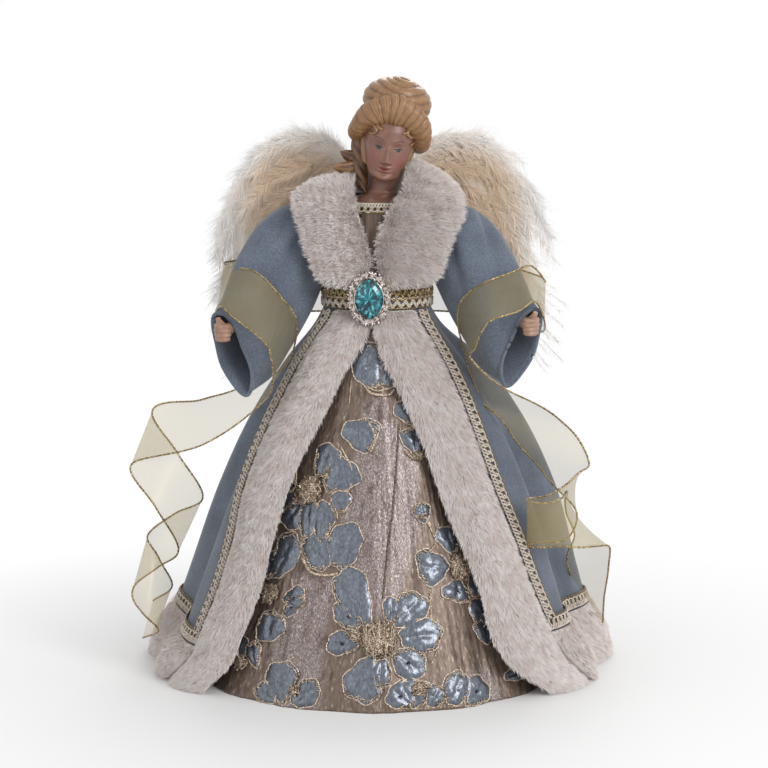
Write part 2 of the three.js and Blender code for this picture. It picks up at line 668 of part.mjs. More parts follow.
const shoulder_end = arm_pivot_x - eye_radius - fit_gap;
const shoulder_from = new THREE.Vector3(-shoulder_end, arm_pivot_y, body_top);
const shoulder_to = new THREE.Vector3(shoulder_end, arm_pivot_y, body_top);
const shoulder_drop = sleeve_head_radius / 2;
shoulder_from.z -= shoulder_drop;
shoulder_to.z -= shoulder_drop;

const shoulderHole = () => rod(
  shoulder_from.clone().setX(-body_half_width * 2),
  shoulder_to.clone().setX(body_half_width * 2),
  shoulder_wire_radius + cut_gap,
);

function torsoForm() {
  const foot = waist_height - cone_top_drop + fit_gap;
  const ringAt = (share) => circle(bodice_columns).map((angle) => bodyPoint(angle, share, 0));
  const foot_ring = ringAt(0).map((point) => point.multiplyScalar(body_foot_share).setZ(foot));
  const rings = body_height_shares.filter((share) => share <= body_top_share).map(ringAt);
  return cut(loft([foot_ring, ...rings]), [shoulderHole()]);
}

function shell(angles, shares, inside, wall, closed) {
  const rings = angles.map((angleAt) => [
    ...shares.map((share) => bodyPoint(angleAt(share), share, inside + wall)),
    ...shares.map((share) => bodyPoint(angleAt(share), share, inside)).reverse(),
  ]);
  return loft(rings, closed);
}

function bodice() {
  const foot = fit_gap / bodice_height;
  const shares = [foot, ...body_height_shares.filter((share) => share > 0 && share <= 1)];
  const columns = circle(bodice_columns).map((angle) => () => angle);
  return cut(shell(columns, shares, layer_gap, bodice_wall, true), [shoulderHole()]);
}

function coatBodice() {
  const foot = fit_gap / bodice_height;
  const inside = layer_gap + bodice_wall + layer_gap;
  const inner_shares = body_height_shares.filter((share) => share > 0 && share < coat_bodice_top_share);
  const shares = [foot, ...inner_shares, coat_bodice_top_share];
  const [open_foot, open_top] = coat_bodice_front_degrees.map(radians);
  const columns = range(bodice_columns).map((u) => (share) => {
    const opening = mix(open_foot, open_top, share);
    return mix(opening, 2 * Math.PI - opening, u);
  });
  return cut(shell(columns, shares, inside, coat_wall, false), [shoulderHole()]);
}

// Head ring points in its own frame: x right, y back, z up, before the head is turned
function headSolid(growth) {
  const rings = head_height_shares.map((share, k) => {
    const half = head_width_shares[k] * head_width + growth;
    const front = head_front_shares[k] * head_depth - growth;
    const back = head_back_shares[k] * head_depth + growth;
    const stretch = 1 + 2 * growth / head_height;
    const centre = (front + back) / 2;
    const reach = (back - front) / 2;
    return circle(head_columns).map((angle) => new THREE.Vector3(
      half * Math.sin(angle),
      centre - reach * Math.cos(angle),
      share * head_height * stretch,
    ));
  });
  return loft(rings);
}

// Round solid through points, with a radius at each
function taper(points, radii, sides) {
  const rings = points.map((point, k) => {
    const before = points[Math.max(0, k - 1)];
    const after = points[Math.min(points.length - 1, k + 1)];
    const way = after.clone().sub(before).normalize();
    const across = new THREE.Vector3(0, 1, 0).cross(way).normalize();
    const up = way.clone().cross(across);
    return circle(sides).map((turn) => point.clone()
      .addScaledVector(across, radii[k] * Math.cos(turn))
      .addScaledVector(up, radii[k] * Math.sin(turn)));
  });
  return loft(rings);
}

function ball(size, place, columns = 12, rows = 8) {
  const geometry = new THREE.SphereGeometry(1, columns, rows);
  geometry.scale(size.x, size.y, size.z);
  geometry.translate(place.x, place.y, place.z);
  return geometry;
}

const head_turn = new THREE.Matrix4().compose(
  new THREE.Vector3(head_place.x, head_place.y, waist_height + bodice_height + head_place.z),
  new THREE.Quaternion().setFromEuler(
    new THREE.Euler(radians(head_pitch_degrees), radians(head_roll_degrees), 0),
  ),
  new THREE.Vector3(1, 1, 1),
);

const onHead = (geometry) => geometry.applyMatrix4(head_turn);

function bustAndNeck(growth) {
  const steps = body_height_shares.filter((share) => share > body_top_share && share <= 1);
  const foot = body_top_share + fit_gap / bodice_height;
  const rings = [foot, ...steps].map((share, k) => circle(head_columns).map((angle) => {
    const point = bodyPoint(angle, share, growth - bust_ease);
    return new THREE.Vector3(point.x * bust_width_shares[k], point.y, point.z);
  }));
  const top = waist_height + bodice_height;
  neck_rise_shares.forEach((rise_share, k) => {
    const a = mix(neck_radius, neck_collar_width, neck_flare_shares[k]) + growth;
    const b = mix(neck_radius, neck_collar_depth, neck_flare_shares[k]) + growth;
    rings.push(circle(head_columns).map((angle) => new THREE.Vector3(
      neck_lean.x * neck_lean_shares[k] + a * Math.sin(angle),
      neck_lean.y * neck_lean_shares[k] - b * Math.cos(angle),
      top + neck_length * rise_share,
    )));
  });
  return loft(rings);
}

function headBust() {
  return joined([bustAndNeck(0), onHead(headSolid(0)), onHead(ball(nose_size, nose_place, 8, 6))]);
}

function hairRoll() {
  const rings = range(hair_roll_steps, -hair_roll_degrees, hair_roll_degrees).map((degrees) => {
    const angle = radians(degrees);
    const side = Math.abs(degrees) / hair_roll_degrees;
    const centre = new THREE.Vector3(
      hair_roll_reach.x * Math.sin(angle),
      mix(hair_roll_forward, hair_roll_back, side ** 2),
      hair_roll_lift + hair_roll_reach.z * Math.cos(angle),
    );
    const curl = 1 + hair_curl_depth_share * Math.cos(hair_curls * 2 * angle);
    const taper = Math.sqrt(Math.max(0.15, 1 - side ** 6));
    const out = new THREE.Vector3(Math.sin(angle), 0, Math.cos(angle));
    return circle(6).map((turn) => centre.clone()
      .addScaledVector(out, hair_roll_radius * curl * taper * Math.sin(turn))
      .add(new THREE.Vector3(0, hair_roll_radius * curl * taper * Math.cos(turn), 0)));
  });
  return loft(rings);
}

function hairLock(xs, ys, zs, radii, growth) {
  const points = xs.map((share, k) => (
    new THREE.Vector3(share * head_width, ys[k] * head_depth, zs[k] * head_height)
  ));
  return taper(points, radii.map((share) => lock_radius * share + growth), lock_sides);
}

function hairLocks(growth) {
  return [
    hairLock(neck_lock_x_shares, neck_lock_y_shares, neck_lock_z_shares, neck_lock_radius_shares, growth),
    hairLock(upper_curl_x_shares, upper_curl_y_shares, upper_curl_z_shares, curl_radius_shares, growth),
    hairLock(lower_curl_x_shares, lower_curl_y_shares, lower_curl_z_shares, curl_radius_shares, growth),
  ];
}

function hairUpdo() {
  const cap = toSolid(headSolid(hair_growth));
  const room = new THREE.BoxGeometry(head_width * 2, head_depth, head_height);
  const room_front = hair_roll_forward + hair_roll_radius / 2;
  room.translate(0, room_front + head_depth / 2, head_height * (0.5 + hair_cap_floor_share));
  const cap_part = toGeometry(cap.intersect(toSolid(room)));
  const lower = ball(bun_size, bun_place);
  const layer = new THREE.Vector3(bun_size.x, bun_size.y, bun_size.z).multiplyScalar(bun_layers_share);
  const upper = ball(layer, { ...bun_place, z: bun_place.z + bun_size.z * bun_top_lift_share }, 10, 6);
  const whole = joined([cap_part, hairRoll(), lower, upper, ...hairLocks(0)]);
  return cut(onHead(whole), [onHead(headSolid(cut_gap)), bustAndNeck(cut_gap)]);
}

// Collar: the crowned fur lies on the line between the two edges of each station
function furCollar() {
  const edge = (xs, ys, zs) => xs.map((_, k) => new THREE.Vector3(
    xs[k] * collar_half_width,
    ys[k] * collar_depth,
    waist_height + zs[k] * collar_rise,
  ));
  const inner = edge(collar_inner_x_shares, collar_inner_y_shares, collar_inner_z_shares);
  const outer = edge(collar_outer_x_shares, collar_outer_y_shares, collar_outer_z_shares);
  const count = inner.length;
  const heart = new THREE.Vector3(0, 0, body_top);
  const places = range(collar_crown_shares.length);
  const rings = inner.map((a, k) => {
    const b = outer[k];
    const before = inner[Math.max(0, k - 1)].clone().add(outer[Math.max(0, k - 1)]);
    const after = inner[Math.min(count - 1, k + 1)].clone().add(outer[Math.min(count - 1, k + 1)]);
    const normal = after.sub(before).cross(b.clone().sub(a)).normalize();
    const middle = a.clone().lerp(b, 0.5);
    if (normal.dot(middle.clone().sub(heart)) < 0) normal.negate();
    const thick = collar_thickness * collar_thickness_shares[k];
    const lifted = (s, lift) => a.clone().lerp(b, s).addScaledVector(normal, lift);
    const base = places.map((s) => lifted(s, 0));
    const face = places.map((s, n) => lifted(s, thick * collar_crown_shares[n]));
    return [...base, ...face.reverse()];
  });
  const locks = hairLocks(cut_gap).map(onHead);
  return cut(loft(rings), [brooch(cut_gap), bustAndNeck(cut_gap), onHead(headSolid(cut_gap)), ...locks]);
}

function necklineBraid() {
  const inside = layer_gap + bodice_wall + layer_gap;
  const top = neckline_braid_top_share;
  const shares = [top - neckline_braid_height / bodice_height, top];
  const limit = radians(neckline_braid_degrees);
  const columns = range(14, -limit, limit).map((angle) => () => angle);
  return shell(columns, shares, inside, braid_thickness, false);
}

const belt_bottom = waist_height - belt_bottom_drop;
const gold_belt_bottom = belt_bottom + cream_belt_height + cut_gap;
const beltInner = (angle) => coatFace(wrapped(angle), belt_bottom_drop / waist_height) + cut_gap;

function beltBraid(bottom, height) {
  const rings = circle(belt_columns).map((angle) => {
    const inner = beltInner(angle);
    const outer = inner + belt_thickness;
    return [
      polar(angle, outer, bottom),
      polar(angle, outer, bottom + height),
      polar(angle, inner, bottom + height),
      polar(angle, inner, bottom),
    ];
  });
  return loft(rings, true);
}

const brooch_angle = radians(brooch_degrees);
const brooch_foot_radius = beltInner(brooch_angle) + belt_thickness + cut_gap;
const brooch_foot = polar(brooch_angle, brooch_foot_radius, belt_bottom + brooch_rise);

// Oval frame of the brooch: a stem on the belt, a beaded plate and a pocket for the gem
function brooch(growth) {
  const ring = (width, height, depth, beads) => circle(2 * setting_beads).map((angle, k) => {
    const bead = 1 + (k % 2 === 0 ? beads : 0);
    return new THREE.Vector3(
      brooch_foot.x + (width / 2 * bead + growth) * Math.sin(angle),
      brooch_foot.y - depth,
      brooch_foot.z + (height / 2 * bead + growth) * Math.cos(angle),
    );
  });
  const back = brooch_stand_off - growth;
  const front = brooch_stand_off + setting_thickness + growth;
  const plate = loft([
    ring(setting_width, setting_height, back, setting_bead_share),
    ring(setting_width, setting_height, front, setting_bead_share),
  ]);
  const stem_end = brooch_foot.clone().setY(brooch_foot.y - brooch_stand_off - setting_thickness / 2);
  return joined([plate, rod(brooch_foot, stem_end, brooch_stem_radius + growth, 12)]);
}

function broochGem() {
  const ring = (share, depth) => circle(gem_sides).map((angle) => new THREE.Vector3(
    brooch_foot.x + gem_width / 2 * share * Math.sin(angle),
    brooch_foot.y - brooch_stand_off - setting_thickness - cut_gap - depth,
    brooch_foot.z + gem_height / 2 * share * Math.cos(angle),
  ));
  const crown = ring((1 + gem_table_share) / 2, gem_rise * 3 / 4);
  return loft([ring(1, 0), ring(1, gem_rise / 4), crown, ring(gem_table_share, gem_rise)]);
}

// Arms: the frame of each sleeve has its origin at the shoulder pivot and its x pointing outward
function armFrame(side) {
  const sign = side === 'left' ? -1 : 1;
  const drop = side === 'left' ? sleeve_drop_left : sleeve_drop_right;
  const pivot = new THREE.Vector3(sign * arm_pivot_x, arm_pivot_y, body_top);
  const place = (x_share, y_share, z_share) => new THREE.Vector3(
    pivot.x + sign * x_share * sleeve_reach,
    pivot.y + y_share * sleeve_depth,
    pivot.z + z_share * drop,
  );
  return { sign, pivot, place };
}

function sleeveRings(side, margin) {
  const { sign, pivot, place } = armFrame(side);
  const radius = sleeve_head_radius - margin;
  const slope = radians(sleeve_head_slope_degrees);
  const pole = new THREE.Vector3(-sign * Math.sin(slope), 0, Math.cos(slope));
  const across = new THREE.Vector3(sign * Math.cos(slope), 0, Math.sin(slope));
  const depth = new THREE.Vector3(0, 1, 0);
  const head = sleeve_head_degrees.map((degrees) => {
    const angle = radians(degrees);
    const wide = radius * Math.sin(angle);
    return {
      centre: pivot.clone().addScaledVector(pole, radius * Math.cos(angle)),
      long: across.clone().multiplyScalar(wide),
      short: depth.clone().multiplyScalar(wide),
    };
  });
  const tube = sleeve_outer_x_shares.map((_, k) => {
    const outer = place(sleeve_outer_x_shares[k], sleeve_centre_y_shares[k], sleeve_outer_z_shares[k]);
    const inner = place(sleeve_inner_x_shares[k], sleeve_centre_y_shares[k], sleeve_inner_z_shares[k]);
    const long = outer.clone().sub(inner).multiplyScalar(0.5);
    const twist = sign * sleeve_twist_x_shares[k] * sleeve_reach;
    const short = new THREE.Vector3(twist, sleeve_half_depth_shares[k] * sleeve_depth, 0);
    return {
      centre: outer.lerp(inner, 0.5),
      long: long.setLength(long.length() - margin),
      short: short.setLength(short.length() - margin),
    };
  });
  return [...head, ...tube].map(({ centre, long, short }) => (
    circle(sleeve_columns).map((angle) => centre.clone()
      .addScaledVector(long, Math.cos(angle))
      .addScaledVector(short, Math.sin(angle)))
  ));
}

function sleeve(side) {
  const { sign, pivot } = armFrame(side);
  const rings = [...sleeveRings(side, 0), ...sleeveRings(side, sleeve_wall).reverse()];
  const armhole_from = pivot.clone().add(new THREE.Vector3(0, 0, -shoulder_drop));
  const armhole_to = armhole_from.clone().setX(pivot.x - sign * (sleeve_head_radius + overrun));
  return cut(loft(rings), [rod(armhole_from, armhole_to, armhole_radius, 16), wrist(side, cut_gap)]);
}

function armCurve(side) {
  const { place } = armFrame(side);
  const points = arm_x_shares.map((share, k) => place(share, arm_y_shares[k], arm_z_shares[k]));
  points[0].z -= shoulder_drop;
  return new THREE.CatmullRomCurve3(points);
}

function wireAlong(curve, radius, segments) {
  const section = new THREE.Shape(circle(8).map((angle) => (
    new THREE.Vector2(radius * Math.cos(angle), radius * Math.sin(angle))
  )));
  const options = { steps: segments, extrudePath: curve, bevelEnabled: false };
  const geometry = new THREE.ExtrudeGeometry(section, options);
  geometry.deleteAttribute('normal');
  geometry.deleteAttribute('uv');
  return facingOut(mergeVertices(geometry, weld_distance));
}

function armWire(side) {
  const { pivot } = armFrame(side);
  const half = new THREE.Vector3(0, eye_length / 2, 0);
  const middle = pivot.clone().add(new THREE.Vector3(0, 0, -shoulder_drop));
  const eye = rod(middle.clone().sub(half), middle.clone().add(half), eye_radius, 12);
  return joined([eye, wireAlong(armCurve(side), arm_wire_radius, arm_segments)]);
}

const handCentre = (side) => armFrame(side).place(hand_x_share, hand_y_share, hand_z_share);

function wrist(side, growth) {
  const wire_end = armCurve(side).getPoint(1);
  const forward = handCentre(side).sub(wire_end).normalize();
  const from = wire_end.clone().addScaledVector(forward, 2 * fit_gap);
  return rod(from, from.clone().addScaledVector(forward, wrist_length + growth), wrist_radius + growth, 10);
}

function digit(root, tip, radius) {
  const way = tip.clone().sub(root).normalize();
  const end = tip.clone().addScaledVector(way, radius);
  const knuckle = tip.clone().addScaledVector(way, radius / 2);
  return taper([root, tip, knuckle, end], [radius, radius, radius * 0.8, radius * 0.3], 6);
}

function hand(side) {
  const { sign } = armFrame(side);
  const centre = handCentre(side);
  const palm = ball(palm_size, centre, 10, 7);
  const onPalm = (x_share, y_share, z_share) => centre.clone().add(new THREE.Vector3(
    sign * palm_size.x * x_share,
    palm_size.y * y_share,
    palm_size.z * z_share,
  ));
  const digits = range(fingers).map((s) => {
    const root = onPalm(0.55, -0.35, mix(0.35, -0.75, s));
    const curl = new THREE.Vector3(sign * mix(0.75, 0.45, s), -0.62, mix(-0.1, -0.4, s)).normalize();
    return digit(root, root.clone().addScaledVector(curl, finger_reach * mix(1, 0.8, s)), finger_radius);
  });
  const thumb_root = onPalm(0.2, -0.3, 0.6);
  const thumb_way = new THREE.Vector3(sign * thumb_way_shares.x, thumb_way_shares.y, thumb_way_shares.z);
  const thumb_tip = thumb_root.clone().addScaledVector(thumb_way, thumb_radius);
  return joined([wrist(side, 0), palm, ...digits, digit(thumb_root, thumb_tip, thumb_radius)]);
}

// Wings: outlines in the plane behind the back, x outward from the middle
function wingFrame(side) {
  const sign = side === 'left' ? -1 : 1;
  const reach = side === 'left' ? wing_reach_left : wing_reach_right;
  const place = (x_share, z_share, back) => new THREE.Vector3(
    sign * (wing_root_x + x_share * reach),
    wing_plane_y + back,
    waist_height + wing_rise + z_share * wing_height,
  );
  return { sign, reach, place };
}

function wingPad(side, back, thickness, inset) {
  const { place } = wingFrame(side);
  const crown = inset < 1 ? card_crown_shares : fluff_crown_shares;
  const rings = fluff_x_shares.map((x_share, k) => {
    const middle = (fluff_top_shares[k] + fluff_bottom_shares[k]) / 2;
    const high = mix(middle, fluff_top_shares[k], inset);
    const low = mix(middle, fluff_bottom_shares[k], inset);
    const x = mix(fluff_x_shares[0], x_share, inset);
    const grown = Math.sqrt(Math.max(0.1, Math.sin(Math.PI * (k + 0.5) / fluff_x_shares.length)));
    const lift = inset < 1 ? 1 : grown;
    const places = range(crown.length);
    const base = places.map((s) => place(x, mix(low, high, s), back));
    const face = places.map((s, n) => place(x, mix(low, high, s), back - thickness * crown[n] * lift));
    return [...base, ...face.reverse()];
  });
  return loft(rings);
}

function wingFlights(side) {
  const { sign, place } = wingFrame(side);
  const feathers = flight_length_shares.map((share, k) => {
    const s = k / (flight_feathers - 1);
    const root = place(flight_root_shares[0], flight_root_shares[1], cut_gap);
    const tilt = side === 'left' ? flight_tilt_left : flight_tilt_right;
    const angle = radians(flight_start_degrees + tilt + flight_spread_degrees * (1 - s));
    const way = new THREE.Vector3(-sign * Math.sin(angle), 0, Math.cos(angle));
    const across = new THREE.Vector3(way.z, 0, -way.x);
    const length = flight_length * share;
    const rings = feather_reach_shares.map((reach, n) => {
      const middle = root.clone().addScaledVector(way, length * reach);
      const half = flight_width / 2 * feather_width_shares[n];
      const thick = new THREE.Vector3(0, wing_feather_thickness, 0);
      const corner = (w, d) => middle.clone().addScaledVector(across, w * half).addScaledVector(thick, d);
      return [corner(-1, 0), corner(1, 0), corner(1, 1), corner(-1, 1)];
    });
    return loft(rings);
  });
  return joined(feathers);
}

const fluff_back = wing_card_thickness + cut_gap;
const wing_pivot_z = waist_height + wing_mount_share * bodice_height;
const wing_mount_foot_share = wing_mount_share - wing_mount_height / 2 / bodice_height;
const wing_mount_y = bodyPoint(Math.PI, wing_mount_foot_share, coat_bodice_margin).y + cut_gap;

function wingMount() {
  const geometry = new THREE.BoxGeometry(wing_mount_width, wing_mount_thickness, wing_mount_height);
  geometry.translate(0, wing_mount_y + wing_mount_thickness / 2, wing_pivot_z);
  return geometry;
}

const wingPivot = (side) => new THREE.Vector3(
  (side === 'left' ? -1 : 1) * wing_root_x,
  wing_mount_y + wing_mount_thickness + cut_gap + wing_eye_radius,
  wing_pivot_z,
);

function wingWire(side) {
  const pivot = wingPivot(side);
  const { place } = wingFrame(side);
  const half = new THREE.Vector3(0, 0, wing_eye_length / 2);
  const eye = rod(pivot.clone().sub(half), pivot.clone().add(half), wing_eye_radius, 12);
  const back = layer_gap + wing_wire_radius;
  const end = place(wing_tip_shares.x, wing_tip_shares.z, back);
  const knee = place(wing_knee_shares.x, wing_knee_shares.z, back);
  const curve = new THREE.CatmullRomCurve3([pivot, pivot.clone().lerp(knee, 0.6), knee, end]);
  return joined([eye, wireAlong(curve, wing_wire_radius, 8)]);
}

const ribbonTables = {
  left: {
    places: [ribbon_left_x_shares, ribbon_left_y_shares, ribbon_left_z_shares],
    across: [ribbon_left_across_x_shares, ribbon_left_across_y_shares, ribbon_left_across_z_shares],
  },
  right: {
    places: [ribbon_right_x_shares, ribbon_right_y_shares, ribbon_right_z_shares],
    across: [ribbon_right_across_x_shares, ribbon_right_across_y_shares, ribbon_right_across_z_shares],
  },
};

// One half of the ribbon as a thin band, smooth through its stations
function ribbon(side) {
  const sign = side === 'left' ? -1 : 1;
  const { places, across } = ribbonTables[side];
  const station = (tables, scale) => tables[0].map((_, k) => new THREE.Vector3(
    sign * tables[0][k] * scale.x,
    tables[1][k] * scale.y,
    tables[2][k] * scale.z,
  ));
  const reach = new THREE.Vector3(ribbon_reach, ribbon_depth, waist_height + ribbon_rise);
  const path = new THREE.CatmullRomCurve3(station(places, reach), false, 'centripetal');
  const way = new THREE.CatmullRomCurve3(station(across, new THREE.Vector3(1, 1, 1)), false, 'centripetal');
  const count = (places[0].length - 1) * ribbon_steps;
  const rings = range(count + 1).map((t) => {
    const middle = path.getPoint(t);
    const width = way.getPoint(t).setLength(ribbon_width / 2);
    const thick = path.getTangent(t).cross(width).setLength(ribbon_thickness / 2);
    const corner = (w, d) => middle.clone().addScaledVector(width, w).addScaledVector(thick, d);
    return [corner(-1, -1), corner(1, -1), corner(1, 1), corner(-1, 1)];
  });
  return loft(rings);
}

add('support_cone', supportCone(), finish.card);
add('gold_skirt', goldSkirt(), finish.lame);
add('coat_skirt', coatSkirt(), finish.felt);
add('torso_form', torsoForm(), finish.calico);
add('bodice', bodice(), finish.lame);
add('coat_bodice', coatBodice(), finish.felt);
add('head_bust', headBust(), finish.skin);
add('hair_updo', hairUpdo(), finish.hair);
add('fur_collar', furCollar(), finish.fur);
add('fur_hem', furHem(), finish.fur);
add('braid_hem', braidHem(), finish.braid);
add('neckline_braid', necklineBraid(), finish.braid);
add('belt_cream_braid', beltBraid(belt_bottom, cream_belt_height), finish.braid);
add('belt_gold_braid', beltBraid(gold_belt_bottom, gold_belt_height), finish.gold_braid);
add('brooch_setting', brooch(0), finish.gilt);
add('brooch_gem', broochGem(), finish.gem);
add('shoulder_wire', rod(shoulder_from, shoulder_to, shoulder_wire_radius), finish.wire);
add('wing_mount', wingMount(), finish.card);
for (const side of ['left', 'right']) {
  add(`fur_front_${side}`, furFront(side), finish.fur);
  add(`braid_front_${side}`, braidFront(side), finish.braid);
  add(`arm_wire_${side}`, armWire(side), finish.wire);
  add(`hand_${side}`, hand(side), finish.skin);
  add(`sleeve_${side}`, sleeve(side), finish.felt);
  add(`ribbon_${side}`, ribbon(side), finish.organza);
  add(`wing_wire_${side}`, wingWire(side), finish.wire);
  add(`wing_card_${side}`, wingPad(side, 0, wing_card_thickness, wing_card_inset_share), finish.card);
  add(`wing_fluff_${side}`, wingPad(side, -fluff_back, wing_fluff_thickness, 1), finish.feather);
  add(`wing_flights_${side}`, wingFlights(side), finish.feather);
}

export default angel;
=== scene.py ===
# Angel tree topper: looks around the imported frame. Shapes are worked out in millimetres
# and stored in metres. Left and right are the viewer's, the figure faces -Y.
import math

import bmesh
import bpy
import numpy as np
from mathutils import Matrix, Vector


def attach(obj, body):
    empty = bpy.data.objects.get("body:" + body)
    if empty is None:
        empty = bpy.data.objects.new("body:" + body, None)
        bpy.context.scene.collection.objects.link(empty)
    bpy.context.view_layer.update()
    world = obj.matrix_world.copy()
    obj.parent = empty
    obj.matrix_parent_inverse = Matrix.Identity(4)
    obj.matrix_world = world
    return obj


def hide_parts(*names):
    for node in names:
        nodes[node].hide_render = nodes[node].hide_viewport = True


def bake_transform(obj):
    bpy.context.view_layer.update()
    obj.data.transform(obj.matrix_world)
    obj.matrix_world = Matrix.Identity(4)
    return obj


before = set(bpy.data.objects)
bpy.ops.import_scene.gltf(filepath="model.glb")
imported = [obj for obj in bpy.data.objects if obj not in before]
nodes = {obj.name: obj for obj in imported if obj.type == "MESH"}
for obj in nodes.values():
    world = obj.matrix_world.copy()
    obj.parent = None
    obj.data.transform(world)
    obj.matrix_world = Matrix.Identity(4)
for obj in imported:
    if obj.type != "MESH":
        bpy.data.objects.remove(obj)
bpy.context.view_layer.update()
scene = bpy.context.scene
MM = 0.001

# Camera
# The photograph was taken from the front and a little above, with a long lens.
camera_target = Vector((0.0046, 0, 0.1871))
camera_distance = 1.5
camera_elevation = math.radians(8)
camera = bpy.data.objects.new("camera", bpy.data.cameras.new("camera"))
scene.collection.objects.link(camera)
back = Vector((0, -math.cos(camera_elevation), math.sin(camera_elevation)))
camera.location = camera_target + back * camera_distance
camera.rotation_mode = "QUATERNION"
camera.rotation_quaternion = (-back).to_track_quat("-Z", "Y")
camera.data.sensor_width = 36
camera.data.lens = 106.5
camera.data.clip_start, camera.data.clip_end = 0.1, 60
scene.camera = camera


# Floor and light
# A white table under a white tent: the tent lights from all sides, one soft lamp stands high
# on the right and a weaker one on the left, and the floor keeps a soft shadow near the foot.
def linear(code):
    """Linear RGBA of an sRGB hex colour."""
    parts = [int(code[k:k + 2], 16) / 255 for k in (0, 2, 4)]
    return [c / 12.92 if c <= 0.04045 else ((c + 0.055) / 1.055) ** 2.4 for c in parts] + [1.0]


def add(tree, kind, inputs=None, ramp=None, **settings):
    """Adds a node with its settings, and fills its inputs with values or links to other nodes.
    A ramp is a list of places and hex colours."""
    made = tree.nodes.new(kind)
    for key, value in settings.items():
        setattr(made, key, value)
    for key, value in (inputs or {}).items():
        if isinstance(value, bpy.types.NodeSocket):
            tree.links.new(value, made.inputs[key])
        else:
            made.inputs[key].default_value = value
    if ramp:
        stops = made.color_ramp.elements
        while len(stops) < len(ramp):
            stops.new(1)
        for stop, (place, code) in zip(stops, ramp):
            stop.position, stop.color = place, linear(code)
    return made


def finish(name, base, **sockets):
    """A new material with one Principled shader, its colour in hex and its other sockets by name."""
    made = bpy.data.materials.new(name)
    made.use_nodes = True
    shader = made.node_tree.nodes["Principled BSDF"]
    shader.inputs["Base Color"].default_value = linear(base)
    for key, value in sockets.items():
        shader.inputs[key.replace("_", " ")].default_value = value
    return made, made.node_tree, shader


def object_place(tree):
    """The socket that gives each point's place in metres, for textures that keep their real size."""
    return add(tree, "ShaderNodeTexCoord").outputs["Object"]


world = bpy.data.worlds.new("tent")
scene.world = world
world.use_nodes = True
tree = world.node_tree
rays = add(tree, "ShaderNodeLightPath")
seen = add(tree, "ShaderNodeMath", {0: rays.outputs["Is Camera Ray"],
                                    1: rays.outputs["Is Transmission Ray"]},
           operation="MAXIMUM")
seen = add(tree, "ShaderNodeMath", {0: seen.outputs[0], 1: rays.outputs["Is Glossy Ray"]},
           operation="MAXIMUM")
tent_level = 0.62
level = add(tree, "ShaderNodeMapRange", {0: seen.outputs[0], 3: tent_level, 4: 1.0})
tree.links.new(level.outputs[0], tree.nodes["Background"].inputs["Strength"])
tree.nodes["Background"].inputs["Color"].default_value = (1, 1, 1, 1)

floor_size = 12
shadow_near, shadow_far = 0.16, 0.42
mesh = bpy.data.meshes.new("floor")
half = floor_size / 2
mesh.from_pydata([(-half, -half, 0), (half, -half, 0), (half, half, 0), (-half, half, 0)], [],
                 [(0, 1, 2, 3)])
floor = bpy.data.objects.new("floor", mesh)
scene.collection.objects.link(floor)
paper, tree, shader = finish("white_paper", "f6f6f6", Roughness=1.0, Specular_IOR_Level=0.0)
place = object_place(tree)
far = add(tree, "ShaderNodeVectorMath", {0: place}, operation="LENGTH")
far = add(tree, "ShaderNodeMapRange", {0: far.outputs["Value"], 1: shadow_near, 2: shadow_far})
rays = add(tree, "ShaderNodeLightPath")
white = add(tree, "ShaderNodeEmission", {"Color": (1, 1, 1, 1), "Strength": 1.0})
share = add(tree, "ShaderNodeMath", {0: far.outputs[0], 1: rays.outputs["Is Camera Ray"]},
            operation="MULTIPLY")
both = add(tree, "ShaderNodeMixShader", {0: share.outputs[0], 1: shader.outputs[0], 2: white.outputs[0]})
tree.links.new(both.outputs[0], tree.nodes["Material Output"].inputs["Surface"])
mesh.materials.append(paper)

lamps = {"key": ((1.1, -1.25, 1.05), 0.8, 15), "fill": ((-1.1, -1.0, 0.7), 1.0, 1.6),
         "rim": ((0.2, 1.2, 1.2), 0.8, 7)}
for name, (spot, size, watts) in lamps.items():
    light = bpy.data.lights.new(name, "AREA")
    light.size, light.energy = size, watts
    lamp = bpy.data.objects.new(name, light)
    lamp.location = spot
    lamp.rotation_mode = "QUATERNION"
    lamp.rotation_quaternion = (camera_target - Vector(spot)).to_track_quat("-Z", "Y")
    scene.collection.objects.link(lamp)
scene.view_settings.view_transform = "Standard"

# Card cone, wires and cards
# The cone that stands over the tip of the tree is rolled grey-cream card, and so are the plates
# of the wings. Arms and wings are bent steel wire. All of these are shown as the frame has them.
def noise(tree, where, scale, detail=2, **sockets):
    """The factor of a noise texture with so many cells to a metre, at the places of a socket."""
    return add(tree, "ShaderNodeTexNoise", {"Vector": where, "Scale": scale, "Detail": detail,
                                            **sockets}).outputs["Fac"]


def ramped(tree, factor, ramp):
    """The colour that a factor meets on a ramp, a list of places and hex colours."""
    return add(tree, "ShaderNodeValToRGB", {0: factor}, ramp=ramp).outputs[0]


def paint_with(tree, shader, colour):
    """Lets a colour socket drive the shader's base colour."""
    tree.links.new(colour, shader.inputs["Base Color"])


def emboss(tree, shader, height, strength, depth):
    """Lets a height socket roughen the surface, to a depth in millimetres."""
    relief = add(tree, "ShaderNodeBump", {"Height": height, "Strength": strength, "Distance": depth * MM})
    tree.links.new(relief.outputs[0], shader.inputs["Normal"])


card, tree, shader = finish("grey_board", "d6cfc0", Roughness=0.9, Specular_IOR_Level=0.2)
place = object_place(tree)
fibre_per_metre = 900
pulp = noise(tree, place, fibre_per_metre, 4)
tint = ramped(tree, pulp, [(0.3, "c9c1b1"), (0.7, "ded8cb")])
paint_with(tree, shader, tint)
emboss(tree, shader, pulp, 0.3, 0.2)

